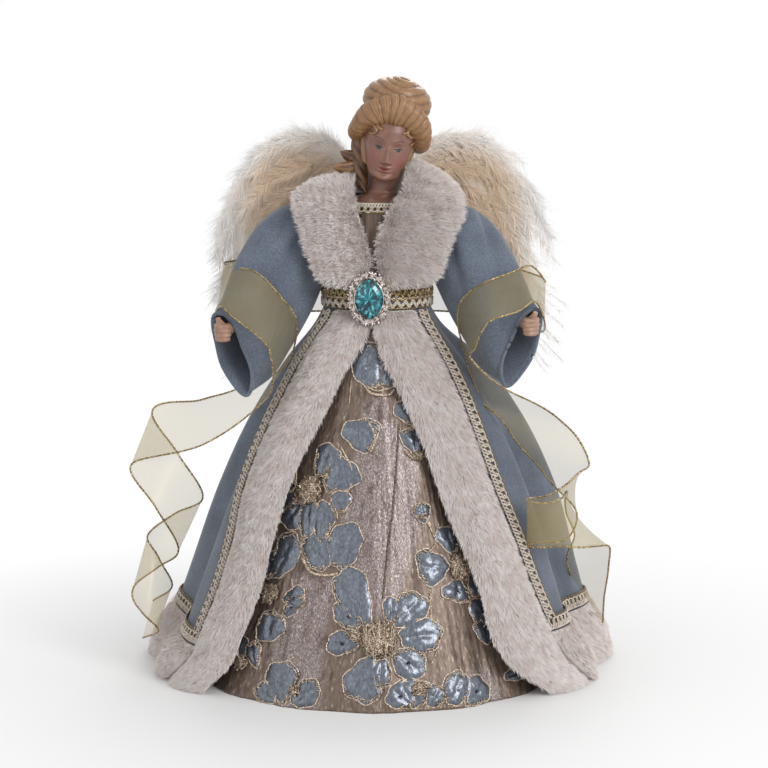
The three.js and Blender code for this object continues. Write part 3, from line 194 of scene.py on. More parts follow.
wire, tree, shader = finish("bright_steel_wire", "a3a3a0", Metallic=1.0, Roughness=0.32)
place = object_place(tree)
drawn = noise(tree, place, 1500, 2)
dull = add(tree, "ShaderNodeMapRange", {0: drawn, 3: 0.22, 4: 0.45})
tree.links.new(dull.outputs[0], shader.inputs["Roughness"])

for name, node in nodes.items():
    if name == "support_cone" or name.startswith(("wing_card", "wing_mount")):
        node.data.materials.clear()
        node.data.materials.append(card)
    if "wire" in name:
        node.data.materials.clear()
        node.data.materials.append(wire)


# Gold skirt
# Champagne lame with a crinkled weave, cut as a bell, gathered at the waist into fifteen soft
# pleats. It hangs over the cone and its hem stands on the table.
def eased(places, values, t):
    """Value of a table at t, on a cubic through its points whose slopes are those of the chords."""
    places, values = np.asarray(places, float), np.asarray(values, float)
    slopes = np.gradient(values, places, axis=0)
    k = np.clip(np.searchsorted(places, t, side="right") - 1, 0, len(places) - 2)
    gap, u = places[k + 1] - places[k], (np.clip(t, places[0], places[-1]) - places[k])
    u = u / gap
    if values.ndim > 1:
        gap, u = gap[..., None], u[..., None]
    return ((2 * u ** 3 - 3 * u ** 2 + 1) * values[k] + (u ** 3 - 2 * u ** 2 + u) * gap * slopes[k]
            + (3 * u ** 2 - 2 * u ** 3) * values[k + 1] + (u ** 3 - u ** 2) * gap * slopes[k + 1])


def step_up(x, low, high):
    """0 below low and 1 above high, with a smooth rise between."""
    u = np.clip((x - low) / (high - low), 0, 1)
    return u * u * (3 - 2 * u)


def polar(angle, radius, height):
    """Points at an angle from the front, +X at 90 degrees, a radius and a height."""
    return np.stack(np.broadcast_arrays(radius * np.sin(angle), -radius * np.cos(angle), height), -1)


def run_along(line):
    """How far each point of a line is from its start, along it."""
    return np.concatenate([[0], np.cumsum(np.linalg.norm(np.diff(line, axis=0), axis=1))])


def full_turn(count):
    """Angles of so many even steps round a full turn."""
    return np.arange(count) * 2 * np.pi / count


def piece(name, points, faces, material, body, stands_for=(), slot=None, uv=None, values=None, smooth=True):
    """A mesh piece from points in millimetres and rows of corner numbers. uv holds a pair for each
    corner of each face, and values holds one number for each point under each name."""
    mesh = bpy.data.meshes.new(name)
    faces = np.asarray(faces)
    mesh.vertices.add(len(points))
    mesh.vertices.foreach_set("co", (np.asarray(points) * MM).astype(np.float32).ravel())
    mesh.loops.add(faces.size)
    mesh.loops.foreach_set("vertex_index", faces.astype(np.int32).ravel())
    mesh.polygons.add(len(faces))
    mesh.polygons.foreach_set("loop_start", (np.arange(len(faces)) * faces.shape[1]).astype(np.int32))
    mesh.polygons.foreach_set("use_smooth", np.full(len(faces), smooth))
    for key, numbers in (values or {}).items():
        kept = mesh.attributes.new(key, "FLOAT", "POINT")
        kept.data.foreach_set("value", np.asarray(numbers, np.float32).ravel())
    if uv is not None:
        mesh.uv_layers.new(name="UVMap").data.foreach_set("uv", np.asarray(uv, np.float32).ravel())
    mesh.update(calc_edges=True)
    mesh.materials.append(material)
    made = bpy.data.objects.new(name, mesh)
    scene.collection.objects.link(made)
    if body:
        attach(made, body)
    if stands_for:
        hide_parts(*stands_for)
    return made


def lattice(rows, columns, ring=False, start=0):
    """Faces of a grid of points, row by row. A ring joins the last column to the first."""
    across = columns if ring else columns - 1
    i, j = np.meshgrid(np.arange(rows - 1), np.arange(across), indexing="ij")
    k = (j + 1) % columns
    faces = np.stack([i * columns + j, i * columns + k, (i + 1) * columns + k, (i + 1) * columns + j], -1)
    return faces.reshape(-1, 4) + start


def grid_uv(rows, columns, wide, tall, ring=False):
    """Corner pairs for a lattice, in metres across and down, so that a pattern has its real size."""
    across = columns if ring else columns - 1
    i, j = np.meshgrid(np.arange(rows - 1), np.arange(across), indexing="ij")
    corners = np.stack([np.stack([j, i], -1), np.stack([j + 1, i], -1), np.stack([j + 1, i + 1], -1),
                        np.stack([j, i + 1], -1)], 2).reshape(-1, 2)
    return corners * np.array([wide / across, tall / (rows - 1)]) * MM


def thicken(made, thickness, offset):
    """Gives a sheet its cloth thickness in millimetres, inward for an offset of -1."""
    wall = made.modifiers.new("wall", "SOLIDIFY")
    wall.thickness, wall.offset = thickness * MM, offset
    wall.use_even_offset = False


def ripple(a, b, seed, waves=9, low=1.0, high=6.0):
    """Smooth noise of two numbers, a sum of sine waves of random way and phase, about -1 to 1."""
    draw = np.random.default_rng(seed)
    total = 0
    for _ in range(waves):
        pace, turn, phase = draw.uniform(low, high), draw.uniform(0, 2 * np.pi), draw.uniform(0, 2 * np.pi)
        total = total + np.sin(pace * (a * np.cos(turn) + b * np.sin(turn)) + phase)
    return total / np.sqrt(waves)


waist_height = 242
cone_waist_radius, cone_base_radius = 24, 106
gold_wall, gold_pleat_depth, gold_pleats = 1.2, 2.2, 15
gold_waist_off, gold_hem_off = (3, 6.5, 3), (19, 15, 2)


def by_direction(angle, offs):
    """Stand-off that goes from the front's or back's to the side's with the square of the sine."""
    front, side, rear = offs
    across = np.sin(angle) ** 2
    return side * across + np.where(np.cos(angle) > 0, front, rear) * (1 - across)


def gold_base(angle, t):
    """Radius under the gold skirt, from the waist at t 0 to the hem at t 1."""
    cone = cone_waist_radius + (cone_base_radius - cone_waist_radius) * t
    return cone + by_direction(angle, gold_waist_off) * (1 - t) + by_direction(angle, gold_hem_off) * t


def gold_face(angle, t):
    """Outer radius of the gold skirt: its stand-off, its pleats and the crinkles of the lame."""
    pleat = gold_pleat_depth * t * (1 + np.cos(gold_pleats * angle)) / 2
    crinkle = (0.35 * ripple(angle * 34, t * 7, 5, 12, 0.6, 2.0)
               + 0.2 * ripple(angle * 90, t * 16, 6, 10, 0.6, 2.0))
    return gold_base(angle, t) + gold_wall + pleat + crinkle * (0.3 + 0.7 * t)


front_columns, rear_columns, gold_rows = 220, 60, 172
front_reach = math.radians(66)
angles = np.concatenate([np.linspace(-front_reach, front_reach, front_columns, endpoint=False),
                         np.linspace(front_reach, 2 * np.pi - front_reach, rear_columns, endpoint=False)])
t, angle = np.meshgrid(np.linspace(0, 1, gold_rows), angles, indexing="ij")
points = polar(angle, gold_face(angle, t), waist_height * (1 - t)).reshape(-1, 3)

# The pattern has glittering panels between plain ones: shares of glitter by degrees and depth
degrees = np.degrees(np.arctan2(np.sin(angle), np.cos(angle)))
panel_left = np.interp(t, [0.22, 0.35, 0.5, 0.75], [-7, -11, -17, -13])
panel_right = np.interp(t, [0.22, 0.4, 0.55, 0.62, 0.75], [8, 22, 20, 16, 4])
ragged = 1.5 * ripple(angle * 8, t * 22, 9, 9, 0.6, 2)
middle_panel = (step_up(degrees + ragged, panel_left - 2, panel_left + 2) * step_up(t, 0.22, 0.26)
                * (1 - step_up(degrees + ragged, panel_right - 2, panel_right + 2))
                * (1 - step_up(t, 0.72, 0.8)))
low_panel = (step_up(degrees + ragged, -36, -31) * (1 - step_up(degrees + ragged, -19, -15))
             * step_up(t, 0.66, 0.7))
corner_panel = (step_up(degrees + ragged, 25, 29) * (1 - step_up(degrees + ragged, 37, 42))
                * step_up(t, 0.9, 0.94))
rear_panel = (np.abs(degrees) > 60) * step_up(np.sin(5 * angle) + np.sin(9 * t), 0.2, 0.6)
glitter = np.clip(middle_panel + low_panel + corner_panel + rear_panel, 0, 1)

# Lame: the plain panels are rose-brown taffeta with upright streaks, their brightest streaks painted glints;
# the glittering ones show the metal thread, crushed into fine crests painted bright and hollows painted
# dull, painted highlights and shade.
lame, tree, shader = finish("crushed_lame", "8f8078", Metallic=0.4, Roughness=0.4)
place = object_place(tree)
upright = add(tree, "ShaderNodeMapping", {"Vector": place, "Scale": (1, 1, 0.07)})
streak = noise(tree, upright.outputs[0], 620, 5, Distortion=0.3)
short = add(tree, "ShaderNodeMapping", {"Vector": place, "Scale": (1, 1, 0.45)})
speck = noise(tree, short.outputs[0], 1250, 3, Roughness=0.7)
fold = noise(tree, upright.outputs[0], 190, 3, Distortion=0.5)
# The top stops of both ramps are painted glints.
plain = ramped(tree, streak, [(0.3, "65554a"), (0.5, "726257"), (0.62, "7e6e63"), (0.72, "baada1")])
metal = ramped(tree, speck, [(0.34, "61544f"), (0.5, "867976"), (0.6, "a29693"), (0.7, "dcd5d3")])
panel = add(tree, "ShaderNodeAttribute", attribute_name="glitter")
cloth = add(tree, "ShaderNodeMix", {0: panel.outputs["Fac"], 6: plain, 7: metal},
            data_type="RGBA")
# Painted shade: the cloth is darkened along the furrows of its folds.
furrow = ramped(tree, fold, [(0.3, "c6bbb4"), (0.46, "ffffff"), (0.62, "ffffff"), (0.72, "ece6e1")])
smooth_cloud_and_fold_shade = add(tree, "ShaderNodeMix", {0: 1.0, 6: cloth.outputs[2], 7: furrow}, data_type="RGBA",
           blend_type="MULTIPLY")
paint_with(tree, shader, smooth_cloud_and_fold_shade.outputs[2])
height = add(tree, "ShaderNodeMath", {0: streak, 1: fold}, operation="ADD")
emboss(tree, shader, height.outputs[0], 0.5, 0.8)

gold_skirt = piece("gold_skirt_cloth", points, lattice(gold_rows, len(angles), ring=True)[:, ::-1], lame,
                   "figure",
                   ["gold_skirt"], "gold_brocade", values={"glitter": glitter})
thicken(gold_skirt, gold_wall, -1)


# Brocade flowers
# The skirt's pattern stands up from the lame: padded blue-grey satin petals, edged with a
# twisted bronze and gold thread, round hearts of gold bouclé, with buds and thin stems.
def on_gold(angle, t, lift):
    """Points on the gold skirt, lifted off it outward in millimetres."""
    smooth_face = (gold_base(angle, t) + gold_wall
                   + gold_pleat_depth * t * (1 + np.cos(gold_pleats * angle)) / 2)
    return polar(angle, smooth_face + lift, waist_height * (1 - t))


# Millimetres of the skirt's cloth to each millimetre of its height
cloth_slope = 1.08


def spot_on_gold(centre, across, down, lift):
    """Points about a place on the skirt, given by millimetres across and down the cloth."""
    angle, t = centre
    t = np.clip(t + down / cloth_slope / waist_height, 0.01, 0.998)
    return on_gold(angle + across / gold_base(angle, t), t, lift)


satin, tree, shader = finish("padded_satin", "656c77", Roughness=0.27, Metallic=0.55, Coat_Weight=0.3)
place = object_place(tree)
# The floats show as lighter and darker upright streaks, partly the weave and partly a painted satin sheen.
floats = add(tree, "ShaderNodeMapping", {"Vector": place, "Scale": (1, 1, 0.3)})
rib = noise(tree, floats.outputs[0], 900, 3)
tint = ramped(tree, rib, [(0.3, "545a64"), (0.5, "646a74"), (0.7, "7d838d")])
paint_with(tree, shader, tint)
wave = noise(tree, place, 170, 2)
emboss(tree, shader, wave, 0.7, 1.1)

bronze, tree, shader = finish("bronze_embroidery_thread", "b09778", Metallic=0.4, Roughness=0.34)
place = object_place(tree)
# Painted glints and shade: the twist is coloured in flecks from dark bronze to near white.
twist = noise(tree, place, 1400, 2)
tint = ramped(tree, twist, [(0.36, "7d6754"), (0.5, "ccb59b"), (0.62, "fff0df")])
paint_with(tree, shader, tint)
emboss(tree, shader, twist, 0.7, 0.4)


def tube(path, radius, sides=6, closed=False):
    """Points and faces of a round cord along a path, its rings square to the chords of the path."""
    path = np.asarray(path, float)
    ahead, behind = np.roll(path, -1, 0), np.roll(path, 1, 0)
    if not closed:
        ahead[-1], behind[0] = path[-1], path[0]
    way = ahead - behind
    way /= np.linalg.norm(way, axis=1, keepdims=True) + 1e-12
    helper = np.where(np.abs(way[:, 2:]) < 0.9, [[0.0, 0, 1]], [[1.0, 0, 0]])
    side = np.cross(way, helper)
    side /= np.linalg.norm(side, axis=1, keepdims=True)
    up = np.cross(side, way)
    turn = full_turn(sides)
    radius = np.broadcast_to(radius, len(path))[:, None, None]
    rings = (path[:, None]
             + radius * (np.cos(turn)[:, None] * side[:, None] + np.sin(turn)[:, None] * up[:, None]))
    faces = lattice(len(path) + closed, sides, ring=True) % (len(path) * sides)
    points = rings.reshape(-1, 3)
    if not closed:
        tips = len(points) + np.arange(2)
        points = np.vstack([points, path[[0, -1]]])
        k = np.arange(sides)
        last = (len(path) - 1) * sides
        caps = [np.stack([k, np.full(sides, tips[0]), np.full(sides, tips[0]), (k + 1) % sides], -1),
                np.stack([last + (k + 1) % sides, np.full(sides, tips[1]), np.full(sides, tips[1]),
                          last + k], -1)]
        faces = np.vstack([faces, *caps])
    return points, faces


def stack(parts):
    """Several pairs of points and faces as one pair."""
    points, faces, start = [], [], 0
    for part in parts:
        points.append(part[0])
        faces.append(part[1] + start)
        start += len(part[0])
    return np.vstack(points), np.vstack(faces)


def tidy(made):
    """Merges doubled corners, drops collapsed faces and turns the faces outward."""
    work = bmesh.new()
    work.from_mesh(made.data)
    bmesh.ops.remove_doubles(work, verts=work.verts, dist=1e-7)
    bmesh.ops.dissolve_degenerate(work, dist=1e-7, edges=work.edges)
    bmesh.ops.recalc_face_normals(work, faces=work.faces)
    work.to_mesh(made.data)
    work.free()


def petal(foot, long, wide, turn, seed):
    """A padded leaf form: a dome over a pointed oval with a wavy rim, from its foot along its turn.
    Gives the dome, its rim's line and a crinkled line that wanders about one side of the rim."""
    draw = np.random.default_rng(seed)
    rings, spokes = 9, 40
    r, a = np.meshgrid(np.linspace(0, 1, rings), full_turn(spokes), indexing="ij")
    rim = 1 + 0.07 * np.sin(3 * a + draw.uniform(0, 6)) + 0.05 * np.sin(7 * a + draw.uniform(0, 6))
    long, wide = 1.12 * long, 1.12 * wide
    along = long * (0.5 + 0.5 * r * rim * np.cos(a))
    side = wide / 2 * r * rim * np.sin(a) * (1 + 0.3 * np.cos(a))
    crease = 0.5 * np.exp(-(side / (0.1 * wide)) ** 2) * step_up(1 - r, 0, 0.5)
    lift = 0.15 + 1.9 * (1 - r ** 2.5) * (1 - crease) * (1 + 0.2 * np.sin(2 * a + draw.uniform(0, 6)))
    across = along * np.sin(turn) + side * np.cos(turn)
    down = -along * np.cos(turn) + side * np.sin(turn)
    grid = spot_on_gold(foot, across, down, lift)
    walk = (draw.uniform(0, spokes) + np.linspace(0, spokes * 0.45, 46)).astype(int) % spokes
    stray = draw.normal(size=(2, 46)) * 0.9
    crinkle = spot_on_gold(foot, across[-2, walk] + stray[0], down[-2, walk] + stray[1],
                           draw.uniform(0.6, 1.9, 46))
    return (grid.reshape(-1, 3), lattice(rings, spokes, ring=True)), spot_on_gold(
        foot, across[-1], down[-1], 0.4), crinkle


# Flowers in the photograph
# The places of the flowers were read in a window of the photograph, shown enlarged. The camera's ray through
# such a place gives where on the skirt it lies.
window_corner, enlargement = (220, 330), 4.0206
photo_middle, photo_scale = 384, 0.66
flower_stand, lowest_share = 1.5, 0.99


def skirt_place(x, y):
    """Degrees and share of the place on the skirt that shows at a pixel of the enlarged window."""
    focal = camera_distance / MM / photo_scale
    right = window_corner[0] + x / enlargement - photo_middle
    up = photo_middle - window_corner[1] - y / enlargement
    toward, away = math.cos(camera_elevation), math.sin(camera_elevation)
    ray = np.array([right / focal, toward + up * away / focal, up * toward / focal - away])
    eye = (np.array(camera_target) + [0, -camera_distance * toward, camera_distance * away]) / MM
    depth = np.linspace(-135, -5, 1300)
    line = np.round(eye + ray * ((depth - eye[1]) / ray[1])[:, None], 1)
    angle, share = np.arctan2(line[:, 0], -line[:, 1]), 1 - line[:, 2] / waist_height
    gap = np.hypot(line[:, 0], line[:, 1]) - gold_base(angle, share) - flower_stand
    inside = np.argmax(gap < 0)
    nearest = np.argmin(np.abs(gap[:inside + 1]))
    return math.degrees(angle[nearest]), share[nearest]


def seen_petal(foot_x, foot_y, tip_x, tip_y, width):
    """A petal from its foot, tip and width in the enlarged window, as degrees and share of its foot,
    length, width and turn, rounded to whole millimetres and degrees."""
    degrees, share = skirt_place(foot_x, foot_y)
    tip_degrees, tip_share = skirt_place(tip_x, tip_y)
    radius = gold_base(math.radians(degrees + tip_degrees) / 2, (share + tip_share) / 2)
    across = radius * math.radians(tip_degrees - degrees)
    up = (share - tip_share) * waist_height * cloth_slope
    return (round(degrees, 1), min(round(share, 3), lowest_share), round(math.hypot(across, up)),
            round(width * photo_scale / enlargement), round(math.degrees(math.atan2(across, up))))


# Petals in the window: foot, tip and width. Then petals out of sight: degrees from the front and
# share of the way down at the foot, length, width, turn.
window_petals = [
    (605, 240, 590, 70, 110), (660, 240, 690, 100, 90), (785, 385, 740, 285, 90), (790, 505, 775, 400, 90),
    (585, 490, 560, 370, 120), (400, 590, 445, 475, 100), (430, 640, 525, 545, 120),
    (445, 670, 510, 700, 80), (310, 625, 255, 590, 90), (310, 665, 250, 700, 80), (330, 690, 270, 780, 90),
    (350, 835, 365, 700, 90), (405, 850, 430, 700, 80), (430, 965, 375, 830, 120), (475, 965, 515, 800, 120),
    (225, 1000, 290, 840, 110), (190, 1000, 230, 900, 90), (255, 1080, 335, 1075, 80),
    (210, 1125, 200, 1240, 120), (255, 1150, 320, 1080, 60), (590, 1190, 510, 985, 115),
    (560, 1200, 480, 1110, 80), (690, 1180, 690, 1085, 60), (700, 1185, 800, 1080, 110),
    (715, 1235, 865, 1225, 120), (705, 1290, 800, 1375, 110), (605, 1310, 555, 1475, 120),
    (650, 1320, 640, 1425, 80), (565, 1250, 445, 1265, 80), (940, 900, 905, 800, 90),
    (915, 950, 800, 950, 120), (955, 1005, 945, 1085, 110), (1000, 985, 1050, 1050, 80),
    (1035, 1185, 1055, 1090, 100), (1080, 1260, 1060, 1175, 100), (815, 775, 805, 700, 60),
    (255, 1530, 240, 1380, 120), (290, 1525, 380, 1455, 90), (220, 1530, 150, 1480, 80),
    (150, 1355, 135, 1260, 60), (770, 1515, 695, 1440, 90), (785, 1525, 785, 1420, 110),
    (835, 1510, 875, 1440, 80), (920, 1515, 960, 1395, 100), (985, 1515, 1060, 1435, 100),
    (1140, 1400, 1210, 1350, 60)]
hidden_petals = [(-52, 0.93, 20, 16, 10), (-56, 0.6, 20, 16, -20), (50, 0.72, 20, 16, 30),
                 (52, 0.93, 20, 16, -20)]
petals = [seen_petal(*row) for row in window_petals] + hidden_petals

# Hearts and loose crinkled patches: place and radius in the window and how many knots. The patches
# were set on the skirt, by degrees, share down, radius in millimetres and knots.
window_hearts = [(365, 640, 60, 260), (212, 1060, 45, 110), (640, 1240, 74, 420), (965, 950, 58, 260),
                 (100, 1330, 35, 90), (800, 1440, 34, 110)]
patches = [(22.5, 0.38, 4.0, 60), (-7, 0.815, 4.5, 70), (20.7, 0.53, 2.5, 40), (-24, 0.955, 4, 60)]
hearts = [(*skirt_place(x, y), radius * photo_scale / enlargement, knots)
          for x, y, radius, knots in window_hearts] + patches

# Couched lines, each through places in degrees and shares, with their thickness
lines = [([skirt_place(830, 770), skirt_place(862, 850), skirt_place(820, 905)], 0.5),
         ([skirt_place(840, 1045), skirt_place(850, 1180), skirt_place(875, 1260),
           skirt_place(850, 1340)], 0.45),
         ([skirt_place(590, 240), (-2, 0.224), (8, 0.226), (13, 0.214)], 0.9),
         ([(-7, 0.205), (0, 0.216), (11, 0.208)], 0.6),
         ([skirt_place(335, 915), skirt_place(370, 970), skirt_place(430, 984), skirt_place(475, 979)], 1.0),
         ([skirt_place(490, 470), skirt_place(530, 560), skirt_place(520, 640), skirt_place(460, 720)], 0.5),
         ([(16, 0.37), (21, 0.388), (27, 0.383)], 0.9),
         ([skirt_place(600, 370), skirt_place(625, 430), skirt_place(605, 490)], 0.9),
         ([(-36, 0.925), (-35, 0.99)], 0.4), ([(-20, 0.19), (-19, 0.25)], 0.4),
         ([skirt_place(290, 1000), skirt_place(300, 1060), skirt_place(320, 1060)], 0.5),
         ([(26, 0.9), (27, 0.94), (25, 0.98)], 0.4)]
domes, cords = [], []
for k, (degrees, share, long, wide, turn) in enumerate(petals):
    dome, rim, crinkle = petal((math.radians(degrees), share), long, wide, math.radians(turn), 11 + k)
    domes.append(dome)
    cords += [tube(rim, 0.5, 5, closed=True), tube(crinkle, 0.36, 4)]
for k, (degrees, share, size, knots) in enumerate(hearts):
    draw = np.random.default_rng(300 + k)
    turns, far = draw.uniform(0, 2 * np.pi, knots), size * np.sqrt(draw.uniform(0, 1, knots))
    path = spot_on_gold((math.radians(degrees), share), far * np.cos(turns), far * np.sin(turns),
                        draw.uniform(1.5, 3.1, knots))
    cords.append(tube(path, 0.42, 4))
for stops, thick in lines:
    spots = eased(np.arange(len(stops)), np.array(stops), np.linspace(0, len(stops) - 1, 90))
    shake = 0.25 * np.sin(np.arange(90) * 1.9)
    cords.append(tube(on_gold(np.radians(spots[:, 0] + shake), spots[:, 1], 0.3 + 0.5 * thick), thick, 5))
seam_stops = np.array([(14, 0.3), skirt_place(708, 560), skirt_place(690, 760), skirt_place(672, 900),
                       skirt_place(655, 1080)])
spots = eased(np.arange(5), seam_stops, np.linspace(0, 4, 200))
seam_twist = 0.1 * np.sin(np.arange(200) * 1.3)
piping, tree, shader = finish("brown_seam_piping", "5c4a3e", Roughness=0.6, Sheen_Weight=0.2)
place = object_place(tree)
ply = noise(tree, place, 900)
tint = ramped(tree, ply, [(0.4, "3f3129"), (0.6, "8a7463")])
paint_with(tree, shader, tint)
piece("skirt_seam", *tube(on_gold(np.radians(spots[:, 0] + seam_twist), spots[:, 1], 0.3), 0.75, 6),
      piping, "figure", slot="gold_brocade")
petals_piece = piece("brocade_petals", *stack(domes), satin, "figure", slot="gold_brocade")
tidy(petals_piece)
piece("brocade_threads", *stack(cords), bronze, "figure", slot="gold_brocade")


# Blue felt coat
# Thick felted cloth in a dusty slate blue, cut as a wide bell that falls in a few heavy folds and
# stands open at the front. Its top part lies over the bodice. Edges are cut, not hemmed.
coat_wall, coat_gap, hem_rise = 1.4, 0.4, 1
coat_end = 1 - hem_rise / waist_height
coat_rows = [0, 0.06, 0.15, 0.3, 0.5, 0.75, 1]
drape = {"left": [0, 0.1, 0.45, 0.82, 1, 0.97, 0.93], "right": [0, 0.1, 0.52, 0.86, 1, 0.84, 0.67]}
loose = {"left": 27, "right": 40}
folds = {"left": [0, 30, 52, 76, 86, 102, 124, 148, 180], "right": [0, 30, 50, 70, 80, 100, 124, 148, 180]}
fold_depths = [0.04, 0.1, 0.38, 0.58, 0.4, 1, 0.45, 0.6, 0.15]


def wrapped(angle):
    """The same angle between -pi and pi."""
    return np.arctan2(np.sin(angle), np.cos(angle))


def coat_face(angle, t, fine=1.0):
    """Outer radius of the coat: the gold skirt's stand-off, the walls, and a drape that grows down
    the coat times a fold depth that changes with the angle. Fine creases come last."""
    angle, t = np.broadcast_arrays(wrapped(angle), t)
    radius = gold_base(angle, t) + gold_wall + gold_pleat_depth * t + coat_gap + coat_wall
    for side, here in (("left", angle < 0), ("right", angle >= 0)):
        turned = np.degrees(np.abs(angle))
        k = np.clip(np.searchsorted(folds[side], turned, side="right") - 1, 0, len(folds[side]) - 2)
        low, high = np.array(folds[side])[k], np.array(folds[side])[k + 1]
        depth = np.array(fold_depths)[k] + np.diff(fold_depths)[k] * step_up(turned, low, high)
        radius = radius + np.where(here, loose[side] * eased(coat_rows, drape[side], t) * depth, 0)
    crease = (0.5 * ripple(angle * 16, t * 2.2, 21, 8, 0.5, 1.6)
              + 0.25 * ripple(angle * 34, t * 5, 22, 8, 0.5, 1.6))
    return radius + fine * crease * step_up(t, 0.05, 0.5)


def on_coat(angle, t, lift):
    """Points on the coat, lifted off it outward in millimetres."""
    return polar(angle, coat_face(angle, t) + lift, waist_height * (1 - t))


band_t = [0.03, 0.08, 0.15, 0.24, 0.36, 0.48, 0.6, 0.72, 0.84, 0.92, 1]
band_degrees = {
    ("left", "inner"): [-7.6, -11, -22, -30, -38, -41.5, -42, -42, -44, -46, -54],
    ("left", "outer"): [-48, -56, -60, -62, -64, -64, -60, -59, -60.5, -62, -70],
    ("right", "inner"): [-5, 0, 8, 18, 26, 29, 34, 37, 37.5, 42, 54],
    ("right", "outer"): [42, 46, 47.5, 49, 49.5, 50.5, 53, 55, 58, 61, 70],
}


def band_edge(side, edge, t):
    """Angle of the inner or outer edge of a front band of fur."""
    return np.radians(eased(band_t, band_degrees[side, edge], np.clip(t, band_t[0], 1)))


def coat_edge(side, t):
    """Angle of the coat's own front edge, hidden under the fur."""
    return 0.55 * band_edge(side, "inner", t) + 0.45 * band_edge(side, "outer", t)


# Felt: short wool fibres matted both ways. Up close it is speckled lighter and darker, and it
# has a soft pale bloom where the surface turns away.
felt, tree, shader = finish("wool_felt", "727e92", Roughness=0.95, Specular_IOR_Level=0.15,
                            Sheen_Weight=0.35,
                            Sheen_Roughness=0.5)
place = object_place(tree)
fibre = noise(tree, place, 1200, 4, Roughness=0.8)
smooth_cloud_and_fold_shade = noise(tree, place, 45, 3)
tint = ramped(tree, fibre, [(0.3, "535b69"), (0.5, "6c7583"), (0.7, "8a93a1")])
cloudy = ramped(tree, smooth_cloud_and_fold_shade, [(0.3, "dcdcde"), (0.7, "ffffff")])
cloth = add(tree, "ShaderNodeMix", {0: 1.0, 6: tint, 7: cloudy}, data_type="RGBA",
            blend_type="MULTIPLY")
paint_with(tree, shader, cloth.outputs[2])
emboss(tree, shader, fibre, 0.5, 0.35)

coat_columns, coat_row_count = 360, 96
t, u = np.meshgrid(np.linspace(0, coat_end, coat_row_count), np.linspace(0, 1, coat_columns), indexing="ij")
angle = coat_edge("right", t) * (1 - u) + (2 * np.pi + coat_edge("left", t)) * u
coat = piece("felt_coat_skirt", on_coat(angle, t, 0).reshape(-1, 3),
             lattice(coat_row_count, coat_columns)[:, ::-1],
             felt, "figure", ["coat_skirt"], "blue_felt")
thicken(coat, coat_wall, -1)

# White fur
# Short dense plush on a knitted backing, glued on the felt: a band down each front edge, one
# round the hem, and a shawl collar. The pile leans down and outward and parts into soft tufts.
fur_core_share, strand_width = 0.55, 0.36


def normals_of(grid):
    """Unit normals of a grid of points, from the cross product of its two ways."""
    n = np.cross(np.gradient(grid, axis=1), np.gradient(grid, axis=0))
    return n / (np.linalg.norm(n, axis=-1, keepdims=True) + 1e-9)


def blades(roots, ways, facing, lengths, widths, bend, draw):
    """Thin tapering blades of three triangles: a root pair, a middle pair and a tip that bends
    over by the given vectors. Their flats face about as the fur does. Gives points, faces, and
    each point's share of the way to the tip."""
    sideways = np.cross(ways, facing + draw.normal(size=ways.shape) * 0.35)
    sideways /= np.linalg.norm(sideways, axis=1, keepdims=True) + 1e-9
    half = sideways * widths[:, None] / 2
    middle = roots + ways * lengths[:, None] * 0.55 + bend * 0.3
    tip = roots + ways * lengths[:, None] + bend
    points = np.stack([roots - half, roots + half, middle - half * 0.8, middle + half * 0.8, tip], 1)
    first = np.arange(len(roots))[:, None, None] * 5
    faces = np.array([[0, 1, 3], [0, 3, 2], [2, 3, 4]])[None] + first
    share = np.tile([0, 0, 0.55, 0.55, 1.0], (len(roots), 1))
    return points.reshape(-1, 3), faces.reshape(-1, 3), share.ravel()


def split(faces):
    """Four-cornered faces as pairs of triangles."""
    return np.concatenate([faces[:, [0, 1, 2]], faces[:, [0, 2, 3]]])


plush, tree, shader = finish("acrylic_plush_pile", "d8d0cb", Roughness=1.0, Specular_IOR_Level=0.1,
                             Sheen_Weight=0.2)
# Painted shade: each blade is darker toward its root, as deep in the pile, and the core has the middle tone.
depth = add(tree, "ShaderNodeAttribute", attribute_name="tip")
tint = ramped(tree, depth.outputs["Fac"], [(0.0, "e0d8d4"), (0.5, "efe9e6"), (1.0, "f9f5f3")])
place = object_place(tree)
tuft_tint = noise(tree, place, 160, 3)
warm = ramped(tree, tuft_tint, [(0.35, "f3edea"), (0.65, "ffffff")])
coat_of_hair = add(tree, "ShaderNodeMix", {0: 1.0, 6: tint, 7: warm}, data_type="RGBA",
                   blend_type="MULTIPLY")
paint_with(tree, shader, coat_of_hair.outputs[2])


